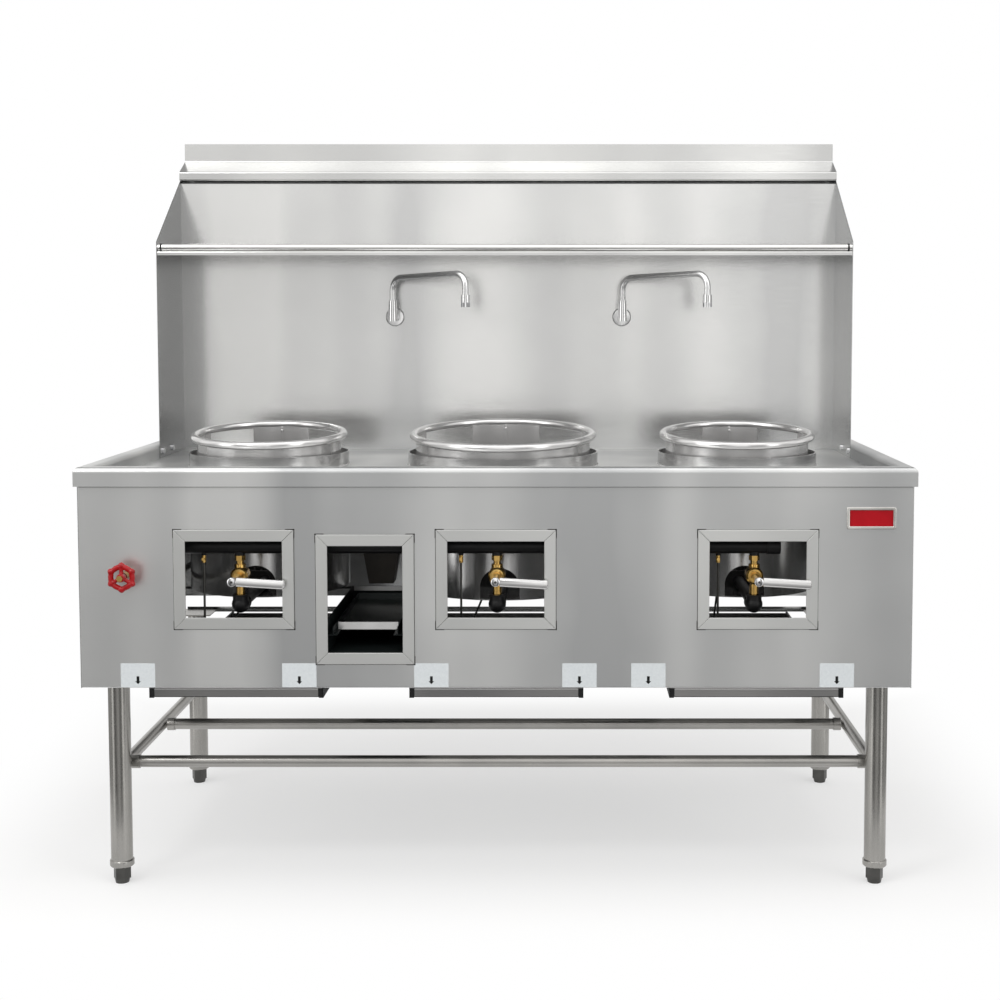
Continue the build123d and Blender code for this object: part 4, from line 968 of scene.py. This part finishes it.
def circlePath(centre, axis, radius, steps=48):
    # a closed wire circle for a weld to follow
    return ([tuple(point) for point in circleAt(centre, turnTo(axis), radius, 0, steps)],
            [(i, (i + 1) % steps) for i in range(steps)])


def weldPiece(name, paths, finish, scale=1.0):
    points, edges = [], []
    for circle, ring in paths:
        edges += [(a + len(points), b + len(points)) for a, b in ring]
        points += circle
    smallest, largest = weldBead["vary"]
    treePiece(name, welds, finish,
              {"Ripple length": weldBead["length"] * scale, "Ripple radius": weldBead["radius"] * scale,
               "Smallest": smallest, "Largest": largest, "Seed": weldBead["seed"]},
              points, edges)


frameLow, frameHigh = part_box("lower_frame")
tubeLevel = (frameLow.z + frameHigh.z) / 2
endTube, longTube = weldBead["endTube"], weldBead["longTube"]
jointWelds = [circlePath((x, y, tubeLevel), (0, axis, 0), weldBead["jointRadius"])
              for x in (frameLow.x + endTube, frameHigh.x - endTube)
              for y, axis in ((frameLow.y + longTube, 1), (frameHigh.y - longTube, -1))]
weldPiece("frame_welds", jointWelds, "footSteel")
curbWelds = []
for side in sides:
    drumLow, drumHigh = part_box("chamber_" + side)
    centre = (drumLow + drumHigh) / 2
    curbWelds.append(circlePath((centre.x, centre.y, deckTop + weldBead["curbUp"]), (0, 0, 1),
                                (drumHigh.x - drumLow.x) / 2 + weldBead["curbOut"], steps=160))
weldPiece("curb_welds", curbWelds, "ringSteel", weldBead["curbScale"])
print("welds laid")

camera = {"place": (0.145, -3.813, 1.2896), "pitch": 3.885, "lens": 56.45, "sensor": 36.0,
          "shiftX": -0.0625, "shiftY": -0.0835}
viewer = inScene("viewer", bpy.data.cameras.new("viewer"))
viewer.location = camera["place"]
viewer.rotation_euler = (math.radians(90 - camera["pitch"]), 0, 0)
viewer.data.lens = camera["lens"]
viewer.data.sensor_width = camera["sensor"]
viewer.data.shift_x = camera["shiftX"]
viewer.data.shift_y = camera["shiftY"]
bpy.context.scene.camera = viewer
bpy.context.scene.view_settings.view_transform = "Standard"

lamps = (
    {"name": "overhead", "place": (0, -0.7, 3.6), "aim": (0, -0.1, 0.0), "size": (4.0, 1.6), "power": 24},
    {"name": "highLeft", "place": (-1.9, -2.6, 3.2), "aim": (0, 0.2, 1.0), "size": (0.9, 0.9), "power": 16},
)
for lamp in lamps:
    light = bpy.data.lights.new(lamp["name"], "AREA")
    light.shape = "RECTANGLE"
    light.size, light.size_y = lamp["size"]
    light.energy = lamp["power"]
    holder = inScene(lamp["name"], light)
    holder.location = lamp["place"]
    aim = Vector(lamp["aim"]) - Vector(lamp["place"])
    holder.rotation_euler = aim.to_track_quat("-Z", "Y").to_euler()

# a white room for the camera, and a room of softboxes for reflections: brightness by compass angle
# (0 is straight ahead of the range's front, positive to the viewer's right) and by height
studio = {
    "compass": ((-180, 0.62), (-150, 0.88), (-120, 0.60), (-96, 0.95), (-80, 0.70), (-70, 0.30), (-63, 2.4),
                (-51, 2.4), (-44, 0.25), (-24, 0.28), (-19, 0.40), (-16, 0.55), (-13, 1.02), (-9.5, 0.58),
                (-7, 0.85), (-4, 1.18), (-1.5, 1.00), (1.2, 0.50), (3.2, 0.85), (5.5, 1.25), (8, 1.32),
                (10.2, 0.92), (12.5, 0.58), (18, 0.40), (38, 0.25), (44, 2.4), (54, 2.4), (62, 0.30),
                (80, 0.70), (96, 0.95), (120, 0.60), (180, 0.62)),
    "compassTop": 2.4,
    "height": ((-90, 0.15), (-40, 0.24), (-20, 0.42), (-14, 0.60), (-7, 0.84), (0, 1.06), (6, 1.15),
               (15, 1.20), (30, 1.36), (42, 1.46), (55, 1.02), (70, 0.85), (90, 0.80)),
    "heightTop": 2.1,
    "roof": (0.35, 0.60),
    "behind": (-0.2, 0.4),
    "behindDim": 0.72,
    "strength": 1.05,
    "tint": (1.0, 0.995, 0.985, 1),
}


def levelRamp(tree, stops, low, high, top):
    ramp = tree.nodes.new("ShaderNodeValToRGB")
    elements = ramp.color_ramp.elements
    while len(elements) < len(stops):
        elements.new(0.5)
    for element, (angle, level) in zip(elements, stops):
        element.position = (angle - low) / (high - low)
    for element, (angle, level) in zip(elements, stops):
        element.color = (level / top, level / top, level / top, 1)
    return ramp


def mathNode(tree, operation, first, second=None):
    node = tree.nodes.new("ShaderNodeMath")
    node.operation = operation
    for index, source in enumerate((first, second)):
        if isinstance(source, (int, float)):
            node.inputs[index].default_value = source
        elif source is not None:
            tree.links.new(source, node.inputs[index])
    return node.outputs[0]


world = bpy.data.worlds.new("softboxRoom")
world.use_nodes = True
room = world.node_tree
direction = room.nodes.new("ShaderNodeTexCoord")
parts = room.nodes.new("ShaderNodeSeparateXYZ")
link(room, direction, "Generated", parts, "Vector")
forward = mathNode(room, "MULTIPLY", parts.outputs["Y"], -1.0)
compass = mathNode(room, "ARCTAN2", parts.outputs["X"], forward)
compassShare = mathNode(room, "ADD", mathNode(room, "DIVIDE", compass, math.tau), 0.5)
height = mathNode(room, "ARCSINE", parts.outputs["Z"])
heightShare = mathNode(room, "ADD", mathNode(room, "DIVIDE", height, math.pi), 0.5)
compassRamp = levelRamp(room, studio["compass"], -180, 180, studio["compassTop"])
heightRamp = levelRamp(room, studio["height"], -90, 90, studio["heightTop"])
room.links.new(compassShare, compassRamp.inputs["Fac"])
room.links.new(heightShare, heightRamp.inputs["Fac"])
lower = rangeOf(room, parts, "Z", 1.0, 0.0, *studio["roof"])
# the compass levels fade out towards the roof, where they would meet in a star
compassLevel = mathNode(room, "MULTIPLY", compassRamp.outputs["Color"], studio["compassTop"])
faded = mathNode(room, "MULTIPLY", mathNode(room, "SUBTRACT", compassLevel, 1.0), lower.outputs["Result"])
roomLevel = studio["heightTop"] * studio["strength"]
heightLevel = mathNode(room, "MULTIPLY", heightRamp.outputs["Color"], roomLevel)
softboxes = room.nodes["Background"]
softboxes.inputs["Color"].default_value = studio["tint"]
# the roof is dimmer behind the range, where the sloping cap mirrors it
behind = rangeOf(room, parts, "Y", 0.0, studio["behindDim"], *studio["behind"])
roofShare = mathNode(room, "SUBTRACT", 1.0, lower.outputs["Result"])
dimming = mathNode(room, "SUBTRACT", 1.0, mathNode(room, "MULTIPLY", behind.outputs["Result"], roofShare))
turnedLevel = mathNode(room, "MULTIPLY", mathNode(room, "ADD", faded, 1.0), dimming)
room.links.new(mathNode(room, "MULTIPLY", turnedLevel, heightLevel), softboxes.inputs["Strength"])
whiteRoom = room.nodes.new("ShaderNodeBackground")
whiteRoom.inputs["Color"].default_value = (1, 1, 1, 1)
seen = room.nodes.new("ShaderNodeLightPath")
chosen = room.nodes.new("ShaderNodeMixShader")
link(room, seen, "Is Camera Ray", chosen, "Fac")
link(room, softboxes, "Background", chosen, 1)
link(room, whiteRoom, "Background", chosen, 2)
link(room, chosen, "Shader", room.nodes["World Output"], "Surface")
bpy.context.scene.world = world

floorLook = {"low": (-1.45, -0.78), "high": (1.45, 1.45), "tone": 0.5, "glow": 0.48, "fade": 0.70}
left, front = floorLook["low"]
right, back = floorLook["high"]
floorMesh = bpy.data.meshes.new("paleFloor")
floorMesh.from_pydata([(left, front, 0), (right, front, 0), (right, back, 0), (left, back, 0)],
                      [], [(0, 1, 2, 3)])
floorFinish, floorTree, floorShader = newMaterial("paleFloor")
# the floor fades into the white room towards its edges
spread = objectCoordinates(floorTree, (2 / (right - left), 2 / (back - front), 1),
                           (0, -(back + front) / (back - front), 0))
axes = floorTree.nodes.new("ShaderNodeSeparateXYZ")
link(floorTree, spread, "Vector", axes, "Vector")
across, along = (mathNode(floorTree, "ABSOLUTE", axes.outputs[axis]) for axis in ("X", "Y"))
reach = mathNode(floorTree, "MAXIMUM", across, along)
for target, middleLevel, edgeLevel in (("Emission Strength", floorLook["glow"], 1.0),
                                       ("Base Color", floorLook["tone"], 0.0)):
    fade = rangeOf(floorTree, reach.node, 0, middleLevel, edgeLevel, floorLook["fade"], 1.0)
    fade.interpolation_type = "SMOOTHSTEP"
    floorTree.links.new(fade.outputs["Result"], floorShader.inputs[target])
floorShader.inputs["Roughness"].default_value = 0.9
floorShader.inputs["Specular IOR Level"].default_value = 0.0
floorShader.inputs["Emission Color"].default_value = (1, 1, 1, 1)
floorMesh.materials.append(floorFinish)
floor = inScene("pale_floor", floorMesh)
print("camera, lights and floor set")

bpy.context.view_layer.update()
